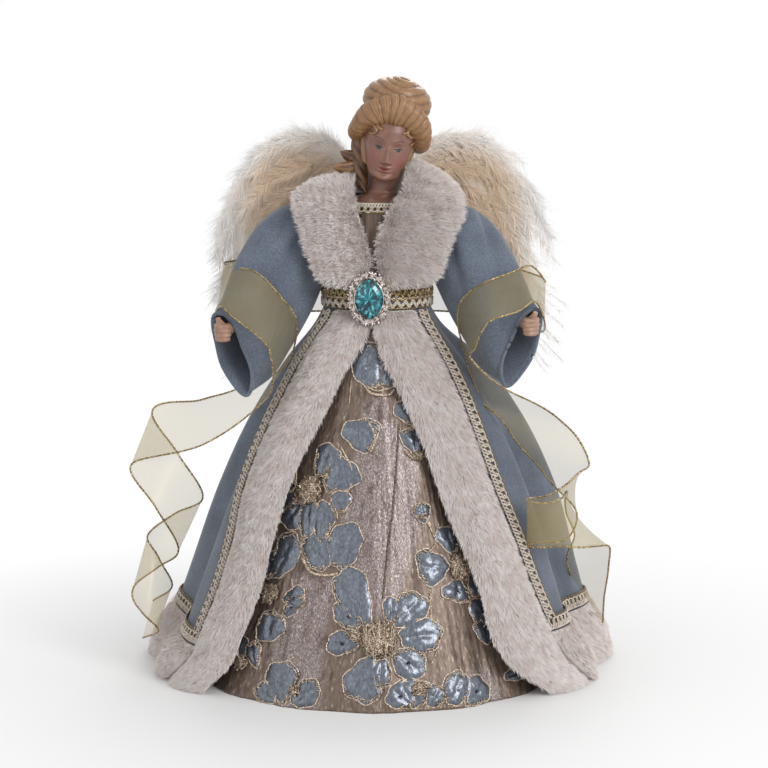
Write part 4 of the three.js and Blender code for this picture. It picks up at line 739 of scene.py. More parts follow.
def fur(name, low, out, thick, crown, count, comb, seed, stands_for, length=4.2, ends=0.7, low_limit=0.4):
    """Fur on a backing: low is a grid of points on the cloth, out the ways off it, thick a column of
    thicknesses and crown its share across. The core is a crowned solid, and blades grow from its top
    along its normals plus the comb, with longer ones and shorter ones where smooth noise says."""
    draw = np.random.default_rng(seed)
    lift = (thick * crown)[..., None]
    top = low + out * lift * fur_core_share
    ring = np.concatenate([top, low[:, ::-1]], 1)
    rows, columns = ring.shape[:2]
    j = np.arange(columns // 2 - 1)
    end_faces = np.stack([j, j + 1, columns - 2 - j, columns - 1 - j], 1)
    core_faces = split(np.vstack([lattice(rows, columns, ring=True), end_faces[:, ::-1],
                                  end_faces + (rows - 1) * columns]))
    facing = normals_of(top)
    facing = facing * np.sign((facing * out).sum(-1, keepdims=True) + 1e-9)
    rows, columns = top.shape[:2]
    area = np.linalg.norm(np.cross(top[1:, :-1] - top[:-1, :-1], top[:-1, 1:] - top[:-1, :-1]), axis=-1)
    cell = draw.choice(area.size, count, p=area.ravel() / area.sum())
    i, j = np.divmod(cell, columns - 1)
    a, b = draw.uniform(0, 1, (2, count, 1))

    def between(grid):
        return (grid[i, j] * (1 - a) * (1 - b) + grid[i + 1, j] * a * (1 - b) + grid[i, j + 1] * (1 - a) * b
                + grid[i + 1, j + 1] * a * b)

    roots, normal = between(top), between(facing)
    normal /= np.linalg.norm(normal, axis=1, keepdims=True)
    down = between(np.gradient(low, axis=0))
    down /= np.linalg.norm(down, axis=1, keepdims=True)
    side = between(np.gradient(low, axis=1))
    side /= np.linalg.norm(side, axis=1, keepdims=True)
    v, s = (i[:, None] + a) / (rows - 1), (j[:, None] + b) / (columns - 1)
    edge = (2 * s - 1) ** 5
    end = np.clip((v - 0.96) / 0.04, 0, 1) - np.clip((0.04 - v) / 0.04, 0, 1)
    sway = ripple(roots[:, 0] * 0.55, roots[:, 2] * 0.5 + roots[:, 1] * 0.4, seed + 5, 10, 0.6, 2.4)
    nod = ripple(roots[:, 1] * 0.6 + roots[:, 0] * 0.3, roots[:, 2] * 0.6, seed + 9, 10, 0.6, 2.4)
    tuft = np.stack([sway, nod, 0.8 * sway], 1)
    way = normal * 0.6 + down * comb[0] + side * comb[1] + side * edge * 0.6 + down * end * ends
    way = way + tuft * 0.1 + draw.normal(size=way.shape) * 0.09
    way /= np.linalg.norm(way, axis=1, keepdims=True)
    size = (length * draw.uniform(0.8, 1.1, count)
            * (1 + 0.1 * ripple(roots[:, 0] * 0.3, roots[:, 2] * 0.3, seed + 3)))
    bend = down * comb[0] * 1.6 + np.array([0, 0, -0.5])
    points, faces, share = blades(roots, way, normal, size, np.full(count, strand_width), bend, draw)
    points[:, 2] = np.maximum(points[:, 2], low_limit)
    core = ring.reshape(-1, 3)
    core[:, 2] = np.maximum(core[:, 2], low_limit)
    piece(name, np.vstack([core, points]), np.vstack([core_faces, faces + len(core)]), plush, "figure",
          stands_for, "white_fur", values={"tip": np.concatenate([np.full(len(core), 0.5), share])})


def outward(angle):
    """Unit vectors away from the upright axis at each angle."""
    return np.stack([np.sin(angle), -np.cos(angle), np.zeros_like(angle)], -1)


fur_thickness, trim_gap, fur_start = 11, 1.0, 0.012
for side, seed in (("left", 31), ("right", 41)):
    t, s = np.meshgrid(np.linspace(fur_start, coat_end, 110), np.linspace(0, 1, 26), indexing="ij")
    angle = band_edge(side, "inner", t) * (1 - s) + band_edge(side, "outer", t) * s
    if side == "left":
        angle = angle[:, ::-1]
    thick = fur_thickness * (0.34 + 0.66 * step_up(t, 0, 0.12))
    crown = eased(np.linspace(0, 1, 6), [0.15, 0.7, 0.95, 0.95, 0.7, 0.15], s)
    fur("fur_band_" + side, on_coat(angle, t, trim_gap), outward(angle), thick, crown, 42000,
        (0.62, 0.0), seed,
        ["fur_front_" + side], ends=0.35)

hem_fur_height, hem_fur_thickness, hem_gap = 35, 12, 1.6
hem_corner = {"left": 0.68, "right": 1.0}


def hem_height(angle):
    """Height of the hem's fur above the hem of the coat, lower at the left front corner."""
    turned = wrapped(angle)
    corner = np.where(turned < 0, hem_corner["left"], hem_corner["right"])
    return hem_fur_height * (corner + (1 - corner) * step_up(np.degrees(np.abs(turned)), 76, 112))


def hem_edge(side, t):
    """Angle at which the hem trims start, just clear of a front band."""
    edge = band_edge(side, "outer", t)
    return edge + (-1 if side == "left" else 1) * 1.2 / coat_face(edge, t)


s, u = np.meshgrid(np.linspace(0, 1, 18), np.linspace(0, 1, 240), indexing="ij")
rough = hem_edge("right", coat_end) * (1 - u) + (2 * np.pi + hem_edge("left", coat_end)) * u
t = coat_end - hem_height(rough) * (1 - s) / waist_height
angle = hem_edge("right", t) * (1 - u) + (2 * np.pi + hem_edge("left", t)) * u
thick = hem_fur_thickness * (1 - 0.4 * np.maximum(0, -np.cos(angle)))
crown = eased(np.linspace(0, 1, 5), [0.15, 0.75, 1, 1, 0.8], s)
fur("fur_round_hem", on_coat(angle, t, hem_gap), outward(angle), thick, crown, 42500, (0.6, 0.0), 51,
    ["fur_hem"])

# The collar's stations: inner and outer edge of the shawl, shares of half its width, its depth
# and its rise above the waist
collar_size = np.array([52, 34, 80])
collar_inner = np.array([
    [-0.25, -0.12, -0.07, -0.15, -0.21, -0.27, -0.3, -0.28, -0.22, 0, 0.25, 0.35, 0.35, 0.29, 0.14, 0.02, 0,
     0.03, 0.14],
    [-1, -1.02, -1, -0.97, -0.92, -0.82, -0.62, -0.26, 0.24, 0.42, 0.3, -0.12, -0.5, -0.78, -0.92, -0.97, -1,
     -1.02, -1],
    [0.17, 0.27, 0.38, 0.54, 0.7, 0.83, 0.91, 0.98, 1.03, 1.07, 1.1, 1.1, 1.01, 0.88, 0.75, 0.55, 0.38, 0.27,
     0.17]]).T
collar_outer = np.array([
    [-0.58, -0.71, -0.79, -0.875, -0.95, -1, -0.96, -0.8, -0.5, 0, 0.5, 0.84, 0.98, 1.01, 1.03, 0.9, 0.8,
     0.74, 0.58],
    [-0.95, -0.92, -0.86, -0.8, -0.72, -0.56, -0.24, 0.32, 0.8, 0.97, 0.8, 0.32, -0.24, -0.56, -0.72, -0.8,
     -0.86, -0.92,
     -0.95],
    [0.18, 0.25, 0.37, 0.54, 0.7, 0.82, 0.88, 0.88, 0.82, 0.78, 0.84, 0.91, 0.9, 0.84, 0.73, 0.56, 0.37,
     0.25, 0.18]]).T
collar_thickness = 11
collar_thick = np.array([0.4, 0.7, 0.9, 1, 1, 1, 1, 1, 0.9, 0.9, 0.9, 1, 1, 1, 1, 1, 0.9, 0.7, 0.4])
stations = np.arange(19)
v = np.linspace(0, 18, 150)
near_edge = eased(stations, collar_inner * collar_size, v) + [0, 0, waist_height]
far_edge = eased(stations, collar_outer * collar_size, v) + [0, 0, waist_height]
s = np.linspace(0, 1, 30)
low = near_edge[:, None] * (1 - s[:, None]) + far_edge[:, None] * s[:, None]
out = np.cross(np.gradient(near_edge + far_edge, axis=0), far_edge - near_edge)
out /= np.linalg.norm(out, axis=1, keepdims=True)
heart = np.array([0, 0, 296])
out *= np.sign(((near_edge + far_edge) / 2 - heart)[:, None] @ out[..., None])[:, 0]
crown = eased(np.linspace(0, 1, 6), [0.2, 0.75, 1, 1, 0.75, 0.2], s)
fur("fur_shawl_collar", low, np.repeat(out[:, None], len(s), 1),
    collar_thickness * eased(stations, collar_thick, v)[:, None],
    crown[None], 46500, (0.0, 0.42), 61, ["fur_collar"], length=5.4, ends=0.3)

# Stuffed body and bodices
# The body is a padded calico form on the cone. The gold bodice is the skirt's lame drawn smooth
# over it, and the coat's felt lies over that, open in front under the collar.
bodice_height, body_half_width, body_half_depth = 66, 29.3, 26
body_heights = [0, 0.3, 0.58, 0.82, 0.92, 1, 1.06]
body_widths = [1, 1, 0.97, 0.88, 0.8, 0.62, 0.52]
body_depths = [1, 1, 0.98, 0.93, 0.93, 0.88, 0.76]
layer_gap = 0.6


def on_body(angle, share, margin):
    """Points of the body's oval at a share of the bodice's height, grown outward by a margin."""
    wide = eased(body_heights, body_widths, share) * body_half_width + margin
    deep = eased(body_heights, body_depths, share) * body_half_depth + margin
    return np.stack(np.broadcast_arrays(wide * np.sin(angle), -deep * np.cos(angle),
                                        waist_height + share * bodice_height), -1)


calico, tree, shader = finish("calico", "d9cfbf", Roughness=0.95, Sheen_Weight=0.2)
place = object_place(tree)
weave = noise(tree, place, 1500, 2)
tint = ramped(tree, weave, [(0.35, "cabfac"), (0.65, "e6ddce")])
paint_with(tree, shader, tint)

turns, body_rows = 60, 26
angle, share = np.meshgrid(full_turn(turns), np.linspace(0, 0.82, body_rows))
stuffed = on_body(angle, share, -0.2)
foot = on_body(angle[:1], 0, 0) * [0.86, 0.86, 0] + [0, 0, 233]
rings = np.concatenate([foot * [0, 0, 1], foot, stuffed, stuffed[-1:] * [0, 0, 1] + [0, 0, 0.2]])
body = piece("stuffed_body", rings.reshape(-1, 3), lattice(len(rings), turns, ring=True), calico, "figure",
             ["torso_form"], "calico")
tidy(body)

angle, share = np.meshgrid(np.linspace(0, 2 * np.pi, 170, endpoint=False), np.linspace(0.01, 1, 56))
crush_lift = 0.35 * ripple(angle * 30, share * 9, 71, 12, 0.5, 1.8) * np.sin(np.pi * share) ** 0.3
bodice = piece("lame_bodice", on_body(angle, share, layer_gap + 1 + crush_lift).reshape(-1, 3),
               lattice(56, 170, ring=True)[:, ::-1], lame, "figure", ["bodice"], "gold_brocade")
tidy(bodice)
thicken(bodice, 1, -1)

opening = np.radians([14, 42])
share, u = np.meshgrid(np.linspace(0.01, 1.05, 40), np.linspace(0, 1, 160), indexing="ij")
edge = opening[0] + (opening[1] - opening[0]) * share
angle = edge * (1 - u) + (2 * np.pi - edge) * u
crease = 0.5 * ripple(angle * 5, share * 5, 73, 8, 0.5, 1.8) * np.clip(1 - share, 0, 1) ** 0.5
points = on_body(angle, share, 2 * layer_gap + 1 + coat_wall + crease).reshape(-1, 3)
top_felt = piece("felt_coat_top", points, lattice(40, 160)[:, ::-1], felt, "figure", ["coat_bodice"],
                 "blue_felt")
thicken(top_felt, coat_wall, -1)


# Felt sleeves
# Wide bell sleeves of the coat's felt, set on the shoulder with a rounded head. Each falls in long folds to
# a slanting mouth with a turned and pressed edge. Its head is sewn to the coat; the felt is attached to no
# body, and only the turned edge goes with its arm.
arm_pivot = np.array([44.184, -3, 296.12])
sleeve_reach, sleeve_depth, sleeve_drop = 57, 43, {"left": 109, "right": 103}
sleeve_head = 12
sleeve_outer_x = np.array([0.32, 0.57, 0.78, 0.92, 0.99, 1.01, 0.99])
sleeve_outer_z = np.array([0.073, -0.028, -0.2, -0.367, -0.468, -0.505, -0.523])
sleeve_inner_x = np.array([-0.115, -0.14, -0.05, 0.07, 0.26, 0.43, 0.69])
sleeve_inner_z = np.array([-0.2, -0.335, -0.45, -0.578, -0.752, -0.89, -1])
sleeve_middle_y = np.array([-0.04, -0.06, -0.17, -0.33, -0.54, -0.75, -0.95])
sleeve_half_y = np.array([0.39, 0.46, 0.5, 0.48, 0.41, 0.3, 0.105])
sleeve_twist = np.array([0, 0, 0, 0.02, 0.07, 0.12, 0.17])


def sleeve_frame(side):
    """Centres and two half axes of the sleeve's ovals: a quarter ball at the shoulder, then the tube."""
    sign = -1 if side == "left" else 1
    pivot = arm_pivot * [sign, 1, 1]
    drop = sleeve_drop[side]
    slope = math.radians(50)
    pole = np.array([-sign * math.sin(slope), 0, math.cos(slope)])
    across = np.array([sign * math.cos(slope), 0, math.sin(slope)])
    turn = np.radians([4, 30, 60, 90])[:, None]
    centre = pivot + pole * sleeve_head * np.cos(turn)
    long = across * sleeve_head * np.sin(turn)
    short = np.array([0, 1, 0]) * sleeve_head * np.sin(turn)
    outer = pivot + np.stack([sign * sleeve_outer_x * sleeve_reach, sleeve_middle_y * sleeve_depth,
                              sleeve_outer_z * drop], 1)
    inner = pivot + np.stack([sign * sleeve_inner_x * sleeve_reach, sleeve_middle_y * sleeve_depth,
                              sleeve_inner_z * drop], 1)
    tube_short = np.stack([sign * sleeve_twist * sleeve_reach, sleeve_half_y * sleeve_depth,
                           0 * sleeve_half_y], 1)
    return (np.vstack([centre, (outer + inner) / 2]), np.vstack([long, (outer - inner) / 2]),
            np.vstack([short, tube_short]))


def pressed_crease(turn, tall, top, foot, top_turn, foot_turn, deep):
    """A crease in a sleeve, in mm: a valley with a bell-shaped section that runs between two heights
    and two directions in degrees, and fades out at both ends like a squared half sine wave."""
    share = np.clip((tall - top) / (foot - top), 0, 1)
    off = turn - np.radians(top_turn + (foot_turn - top_turn) * share)
    off = np.arctan2(np.sin(off), np.cos(off))
    return -deep * np.exp(-(off / 0.2) ** 2) * np.sin(np.pi * share) ** 2


sleeve_rows, sleeve_columns = 100, 104
sleeve_creases = {"left": [(0.24, 0.74, 236, 300, 5.0), (0.3, 0.62, 292, 322, 3.2),
                           (0.5, 0.95, 212, 238, 2.6)],
                  "right": [(0.4, 0.62, 350, 296, 4.6), (0.26, 0.74, 262, 232, 4.0),
                            (0.62, 0.95, 282, 268, 2.2)]}
for side, seed in (("left", 81), ("right", 86)):
    sign = -1 if side == "left" else 1
    centres, longs, shorts = sleeve_frame(side)
    at = np.arange(len(centres))
    v = np.linspace(0, len(centres) - 1, sleeve_rows)
    turn = full_turn(sleeve_columns)
    tall = v[:, None] / (len(centres) - 1)
    wave = 1.8 * ripple(turn * 1.6, tall * 1.4, seed, 9, 0.8, 2.2) + 1.1 * np.cos(5 * turn + 2 + 1.5 * tall)
    creases = sum(pressed_crease(turn, tall, *crease) for crease in sleeve_creases[side])
    swell = (step_up(tall, 0.3, 0.65) * (1 - 0.5 * step_up(tall, 0.9, 1)) * wave + creases)[..., None]
    long, short = eased(at, longs, v)[:, None], eased(at, shorts, v)[:, None]
    way = long * np.cos(turn)[:, None] + short * np.sin(turn)[:, None]
    grid = eased(at, centres, v)[:, None] + way + way / np.linalg.norm(way, axis=-1, keepdims=True) * swell
    cap = np.repeat(centres[:1, None] + (centres[:1, None] - centres[1:2, None]) * 0.02, sleeve_columns, 1)
    grid = np.concatenate([cap, grid])
    faces = lattice(len(grid), sleeve_columns, ring=True)
    made = piece("felt_sleeve_" + side, grid.reshape(-1, 3), faces[:, ::sign], felt, None,
                 ["sleeve_" + side], "blue_felt")
    tidy(made)
    thicken(made, 1.4, -1)
    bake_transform(made)
    rim = grid[-1] + (grid[-1] - grid[-3]) * 0.1
    piece("sleeve_edge_" + side, *tube(rim, 1.25, 8, closed=True), felt, "arm_" + side, slot="blue_felt")


# Gimp braids
# Upholstery gimp, 8 mm wide: cream cords plaited over each other down the middle, with a row of
# small gilt-edged loops along its free side. It is glued on the felt beside the fur.
def thread_finish(name, dark, middle, light, metal, rough):
    """A spun thread: its fine diagonal twist is painted in light and dark flecks along the cord, painted
    highlights and shade of the plies.
    """
    made, tree, shader = finish(name, middle, Metallic=metal, Roughness=rough, Sheen_Weight=0.2)
    place = object_place(tree)
    fleck = noise(tree, place, 1300, 3)
    tint = ramped(tree, fleck, [(0.34, dark), (0.5, middle), (0.66, light)])
    paint_with(tree, shader, tint)
    emboss(tree, shader, fleck, 0.6, 0.3)
    return made


cream_thread = thread_finish("rayon_gimp_cord", "a89a8b", "cdc1b3", "e9e1d7", 0.0, 0.5)
braid_ground = thread_finish("brown_gold_tape", "33281a", "5f4c2e", "a08650", 0.4, 0.45)
gilt_thread = thread_finish("gilt_thread", "3d301c", "846b3c", "ecd8a4", 0.6, 0.34)


def braid_cords(place_at, length, width, pitch=5.0, cord=0.62, loop_sides=(1,)):
    """Cords of a braid. place_at(along, across, lift) gives points in millimetres on what carries it.
    Two cords cross each other as sines of opposite phase. Along a looped side a cord runs
    back as it swings out, so it closes into round loops, and a gilt cord follows it outside."""
    steps = np.arange(0, length, 0.4)
    k = 2 * np.pi / pitch
    middle = -0.17 * width * np.sum(loop_sides)
    cream, gilt = [], []
    for sign in (-1, 1):
        turn = k * steps
        cream.append(tube(place_at(steps, middle + sign * 0.2 * width * np.sin(turn),
                                   1.6 + sign * 0.5 * np.cos(turn)),
                          cord, 6))
    for sign in loop_sides:
        edge = steps + 0.4 * pitch * np.sin(k * steps)
        far = sign * width * (0.28 + 0.2 * np.cos(k * steps))
        cream.append(tube(place_at(edge, far, 1.5 + 0 * steps), cord * 0.9, 6))
        edge = steps + 0.52 * pitch * np.sin(k * steps)
        far = sign * width * (0.36 + 0.28 * np.cos(k * steps))
        gilt.append(tube(place_at(edge, far, 1.0 + 0 * steps), cord, 6))
    return stack(cream), stack(gilt)


def backing(place_at, length, width):
    """The flat tape that the cords are sewn to, a thin closed strip under them."""
    steps = np.linspace(0, length, max(8, int(length / 2)))
    corners = np.array([[-0.3, 0.15], [0.3, 0.15], [0.3, 0.55], [-0.3, 0.55]])
    rings = np.stack([place_at(steps, c * width + 0 * steps, h + 0 * steps) for c, h in corners], 1)
    ring_faces = lattice(len(steps), 4, ring=True)
    last = (len(steps) - 1) * 4
    return rings.reshape(-1, 3), np.vstack([ring_faces, [[3, 2, 1, 0]],
                                            [[last, last + 1, last + 2, last + 3]]])


braid_width = 8
for side in ("left", "right"):
    sign = -1 if side == "left" else 1
    braid_end = coat_end - (hem_fur_height * hem_corner[side] + braid_width + 0.4) / waist_height
    t = np.linspace(fur_start, braid_end, 200)
    centre = (band_edge(side, "outer", t)
              + sign * (1.3 + braid_width / 2) / coat_face(band_edge(side, "outer", t), t))
    line = on_coat(centre, t, 0)
    run = run_along(line)

    def beside_fur(along, across, lift, run=run, t=t, centre=centre):
        there = np.interp(along, run, t)
        angle = np.interp(along, run, centre)
        return on_coat(angle + across / coat_face(angle, there), there, lift + trim_gap * 0.6 + 2.2)

    cream, gilt = braid_cords(beside_fur, run[-1], braid_width, loop_sides=(sign,))
    piece("gimp_front_" + side, *cream, cream_thread, "figure", ["braid_front_" + side], "cream_braid")
    piece("gimp_ground_" + side, *stack([gilt, backing(beside_fur, run[-1], braid_width)]), braid_ground,
          "figure",
          slot="gold_braid")

u = np.linspace(0, 1, 500)
rough = hem_edge("right", coat_end) * (1 - u) + (2 * np.pi + hem_edge("left", coat_end)) * u
t = coat_end - (hem_height(rough) + 0.4 + braid_width / 2) / waist_height
round_angle = hem_edge("right", t) * (1 - u) + (2 * np.pi + hem_edge("left", t)) * u
line = on_coat(round_angle, t, 0)
run = run_along(line)


def above_hem(along, across, lift):
    """Places on the coat along the hem's braid, across being upward."""
    there = np.interp(along, run, t) - across / waist_height * 0.97
    return on_coat(np.interp(along, run, round_angle), there, lift + trim_gap * 0.6)


cream, gilt = braid_cords(above_hem, run[-1], braid_width)
piece("gimp_hem", *cream, cream_thread, "figure", ["braid_hem"], "cream_braid")
piece("gimp_ground_hem", *stack([gilt, backing(above_hem, run[-1], braid_width)]), braid_ground, "figure",
      slot="gold_braid")


# Neckline braid
# A narrow scalloped braid, white with gilt loops, glued round the top of the bodice in front.
def at_neckline(along, across, lift):
    """Places round the neckline from the middle of its run, across being upward."""
    return on_body((along - 24) / 22.5, 1 - (2.5 - across) / bodice_height, 2 * layer_gap + 1 + lift)


cream, gilt = braid_cords(at_neckline, 48, 6, pitch=3.8, cord=0.55, loop_sides=(-1,))
piece("neckline_gimp", *cream, cream_thread, "figure", ["neckline_braid"], "cream_braid")
piece("neckline_tape", *backing(at_neckline, 48, 6), braid_ground, "figure", slot="gold_braid")
piece("neckline_gimp_gilt", *gilt, gilt_thread, "figure", slot="gold_braid")


# Belt
# Two braids wound round the waist: below, a cream zigzag with gilt points, and above it a dark
# gold metallic one. Their ends meet under the brooch.
belt_bottom, cream_height, gold_height, belt_thickness = 240, 6.2, 6.6, 1.9


def belt_inner(angle):
    """How far the belt's inner face stands from the axis, just off the felt."""
    return coat_face(angle, 2 / waist_height, 0) + 0.35


belt_turn = np.linspace(0, 2 * np.pi, 400)
belt_line = polar(belt_turn, belt_inner(belt_turn), 0 * belt_turn)
belt_run = run_along(belt_line)


def on_belt(middle):
    """Places round the waist at a height: along the belt, across upward, and lifted off it."""
    def place_at(along, across, lift):
        angle = np.interp(along, belt_run, belt_turn)
        return polar(angle, belt_inner(angle) + lift, middle + across)
    return place_at


def zigzag_belt(name, middle, height, period, main, trim, node, slot):
    """A belt braid: a dark tape, two zigzag cords side by side, and a wavy cord at each edge."""
    place_at = on_belt(middle)
    steps = np.arange(0, belt_run[-1], 0.4)
    wave = 2 * np.pi / period * steps
    saw = 2 / np.pi * np.arcsin(np.sin(wave))
    tape_steps = np.linspace(0, belt_run[-1], 160)
    corners = np.array([[-0.5, 0], [0.5, 0], [0.5, 0.5], [-0.5, 0.5]])
    rings = np.stack([place_at(tape_steps, c * height + 0 * tape_steps, h + 0 * tape_steps)
                      for c, h in corners], 1)
    tape = rings[:-1].reshape(-1, 3), lattice(160, 4, ring=True) % (159 * 4)
    cords = [tube(place_at(steps, shift + saw * height * 0.3, 1.4 + 0.25 * np.sin(3 * wave)), 0.62, 6)
             for shift in (-0.75, 0.75)]
    edges = [tube(place_at(steps, s * height * (0.45 + 0.06 * np.sin(2 * wave)), 1.0 + 0 * steps), 0.5, 6)
             for s in (-1, 1)]
    piece(name, *stack(cords), main, "figure", [node], slot)
    piece(name + "_edges", *stack(edges), trim, "figure", slot="gold_braid")
    piece(name + "_tape", *tape, braid_ground, "figure", slot="gold_braid")


zigzag_belt("belt_cream", belt_bottom + cream_height / 2, cream_height, 5.6, cream_thread, gilt_thread,
            "belt_cream_braid", "cream_braid")
zigzag_belt("belt_gold", belt_bottom + cream_height + 0.35 + gold_height / 2, gold_height, 4.4,
            gilt_thread, bronze,
            "belt_gold_braid", "gold_braid")


# Brooch
# A cast setting of silver-gilt filigree with a ring of small stones, round a faceted oval of
# teal acrylic, 18 by 25 mm. It is glued on the belt in front.
brooch_angle = math.radians(-8.5)
foot_radius = float(belt_inner(np.array(brooch_angle))) + belt_thickness + 0.35
brooch_foot = polar(np.array(brooch_angle), foot_radius, 0.0) + [0, 0, belt_bottom + 7.7]
stand_off, plate_thickness = 5, 2.6
gem_half, setting_half = np.array([9, 12.5]), np.array([13.5, 17])


def on_brooch(across, up, forward):
    """Places about the middle of the brooch, forward being toward the viewer."""
    return np.stack(np.broadcast_arrays(brooch_foot[0] + across, brooch_foot[1] - forward,
                                        brooch_foot[2] + up), -1)


acrylic, tree, shader = finish("teal_acrylic", "12606e", Roughness=0.12, IOR=1.49, Coat_Weight=0.35,
                               Coat_Roughness=0.03)
# Painted reflections: each flat facet gets a brightness of its own from its normal, from near black to pale
# teal.
bearing = add(tree, "ShaderNodeNewGeometry")
facet_reflection = add(tree, "ShaderNodeTexWhiteNoise", {"Vector": bearing.outputs["True Normal"]})
tint = ramped(tree, facet_reflection.outputs["Value"], [(0.0, "05242a"), (0.45, "0a4a55"), (0.8, "12818f"),
                                                  (1.0, "74cbd2")])
paint_with(tree, shader, tint)

# Facets in lozenges: rows of points round the oval, each row turned half a step from the last
rings, count = [], 24
for k, (out_share, rise) in enumerate([(1, 0), (1, 1.3), (0.82, 2.9), (0.6, 4.0), (0.36, 4.5)]):
    a = (np.arange(count) + 0.5 * (k % 2)) * 2 * np.pi / count
    rings.append(on_brooch(gem_half[0] * out_share * np.sin(a), gem_half[1] * out_share * np.cos(a),
                           stand_off + plate_thickness + 0.2 + rise))
gem_points = np.vstack([*rings, on_brooch(0.0, 0.0, stand_off + plate_thickness + 0.2)[None],
                        on_brooch(0.0, 0.0, stand_off + plate_thickness + 4.75)[None]])
faces = []
for k in range(len(rings) - 1):
    j = np.arange(count)
    near, far = k * count, (k + 1) * count
    if k % 2 == 0:
        faces += [np.stack([near + j, near + (j + 1) % count, far + j], 1),
                  np.stack([near + (j + 1) % count, far + (j + 1) % count, far + j], 1)]
    else:
        faces += [np.stack([near + j, far + (j + 1) % count, far + j], 1),
                  np.stack([near + j, near + (j + 1) % count, far + (j + 1) % count], 1)]
j, top = np.arange(count), (len(rings) - 1) * count
faces += [np.stack([(j + 1) % count, j, np.full(count, len(gem_points) - 2)], 1),
          np.stack([top + j, top + (j + 1) % count, np.full(count, len(gem_points) - 1)], 1)]
gem = piece("faceted_gem", gem_points, np.vstack(faces), acrylic, "figure", ["brooch_gem"], "teal_gem",
            smooth=False)
tidy(gem)

silver_gilt, tree, shader = finish("silver_gilt_filigree", "c9bdb6", Metallic=1.0, Roughness=0.22)
place = object_place(tree)
tarnish = noise(tree, place, 500, 3)
tint = ramped(tree, tarnish, [(0.36, "7d6d64"), (0.5, "c4b7b0"), (0.64, "efe8e4")])
paint_with(tree, shader, tint)

glass, tree, shader = finish("clear_paste_stone", "c4bfba", Roughness=0.08, IOR=1.6, Coat_Weight=1.0)


def stone(centre, size):
    """A small eight-sided stone: a wide girdle, a flat table and a point behind."""
    a = np.arange(8) * np.pi / 4
    girdle = np.stack([np.cos(a), 0 * a, np.sin(a)], 1) * size
    table = np.stack([0.55 * np.cos(a), 0 * a, 0.55 * np.sin(a)], 1) * size - [0, 0.55 * size, 0]
    points = np.vstack([girdle, table, [[0, 0.6 * size, 0]], [[0, -0.6 * size, 0]]]) + centre
    j = np.arange(8)
    nxt = (j + 1) % 8
    faces = np.vstack([np.stack([j, nxt, 8 + j], 1), np.stack([nxt, 8 + nxt, 8 + j], 1),
                       np.stack([nxt, j, np.full(8, 16)], 1), np.stack([8 + j, 8 + nxt, np.full(8, 17)], 1)])
    return points, faces


def oval(share, forward, count, wave=0.0, waves=0):
    """A closed line round the brooch at a share of the setting's size."""
    a = full_turn(count)
    r = share * (1 + wave * np.cos(waves * a))
    return on_brooch(setting_half[0] * r * np.sin(a), setting_half[1] * r * np.cos(a), forward)


face_at = stand_off + plate_thickness
metal = [tube(oval(0.69, face_at + 0.6, 90), 0.8, 6, closed=True),
         tube(oval(0.78, face_at + 0.1, 160, 0.035, 26), 0.5, 6, closed=True),
         tube(oval(0.93, face_at - 0.3, 260, 0.075, 20), 0.55, 6, closed=True),
         tube(oval(0.9, face_at - 1.2, 90), 1.1, 6, closed=True)]
stem = tube([on_brooch(0.0, 0.0, 0.0), on_brooch(0.0, 0.0, face_at - 1.4)], 5.5, 20)
plate_a = full_turn(48)
plate_rings = [on_brooch(0 * plate_a, 0 * plate_a, face_at - 1.6), oval(0.86, face_at - 1.6, 48),
               oval(0.86, face_at - 0.4, 48),
               on_brooch(0 * plate_a, 0 * plate_a, face_at - 0.4)]
plate = np.vstack(plate_rings), lattice(4, 48, ring=True)
claws, stones = [], []
for k in range(20):
    a = (k + 0.5) * 2 * np.pi / 20
    out = np.array([math.sin(a), math.cos(a)])
    foot_spot, tip_spot = setting_half * 0.86 * out, setting_half * 1.06 * out
    claws.append(tube([on_brooch(*foot_spot, face_at - 0.6), on_brooch(*(tip_spot * 0.97), face_at - 0.1),
                       on_brooch(*tip_spot, face_at + 0.3)], np.array([0.9, 0.7, 0.3]), 6))
    stones.append(stone(on_brooch(*(setting_half * 0.855 * out), face_at + 0.75), 1.15))
setting = piece("filigree_setting", *stack(metal + [stem, plate] + claws), silver_gilt, "figure",
                ["brooch_setting"], "filigree")
tidy(setting)
piece("paste_stones", *stack(stones), glass, "figure", slot="filigree", smooth=False)


# Head and bust
# Head, neck and bust are one hollow casting in fine resin, painted in a warm flesh colour with
# blushed cheeks. The face is a plain calm doll's face of general proportions.
head_wide, head_deep, head_tall = 32, 39, 45
head_middle = np.array([7.6, -8, waist_height + bodice_height + 39])
pitch, roll = math.radians(12), math.radians(11)
head_turn = (np.array([[1, 0, 0], [0, math.cos(pitch), -math.sin(pitch)],
                       [0, math.sin(pitch), math.cos(pitch)]])
             @ np.array([[math.cos(roll), 0, math.sin(roll)], [0, 1, 0],
                         [-math.sin(roll), 0, math.cos(roll)]]))
head_z = np.array([-0.51, -0.46, -0.35, -0.22, -0.06, 0.1, 0.25, 0.38, 0.47, 0.5])
head_half_x = np.array([0.1, 0.24, 0.36, 0.43, 0.485, 0.5, 0.48, 0.39, 0.22, 0.07])
head_front_y = np.array([-0.47, -0.53, -0.54, -0.525, -0.51, -0.5, -0.47, -0.36, -0.2, -0.05])
head_back_y = np.array([-0.32, -0.15, 0.12, 0.32, 0.45, 0.5, 0.48, 0.38, 0.23, 0.1])


def on_head(points):
    """Points of the head's own frame, x right, y back, z up, turned and set in place."""
    return points @ head_turn.T + head_middle


def skull(angle, share, growth):
    """Points of the bare head in its own frame: each level is an oval between its front and back."""
    half = eased(head_z, head_half_x, share) * head_wide + growth
    front = eased(head_z, head_front_y, share) * head_deep - growth
    back = eased(head_z, head_back_y, share) * head_deep + growth
    return np.stack([half * np.sin(angle), (front + back) / 2 - (back - front) / 2 * np.cos(angle),
                     share * (head_tall + 2 * growth) + 0 * angle], -1)


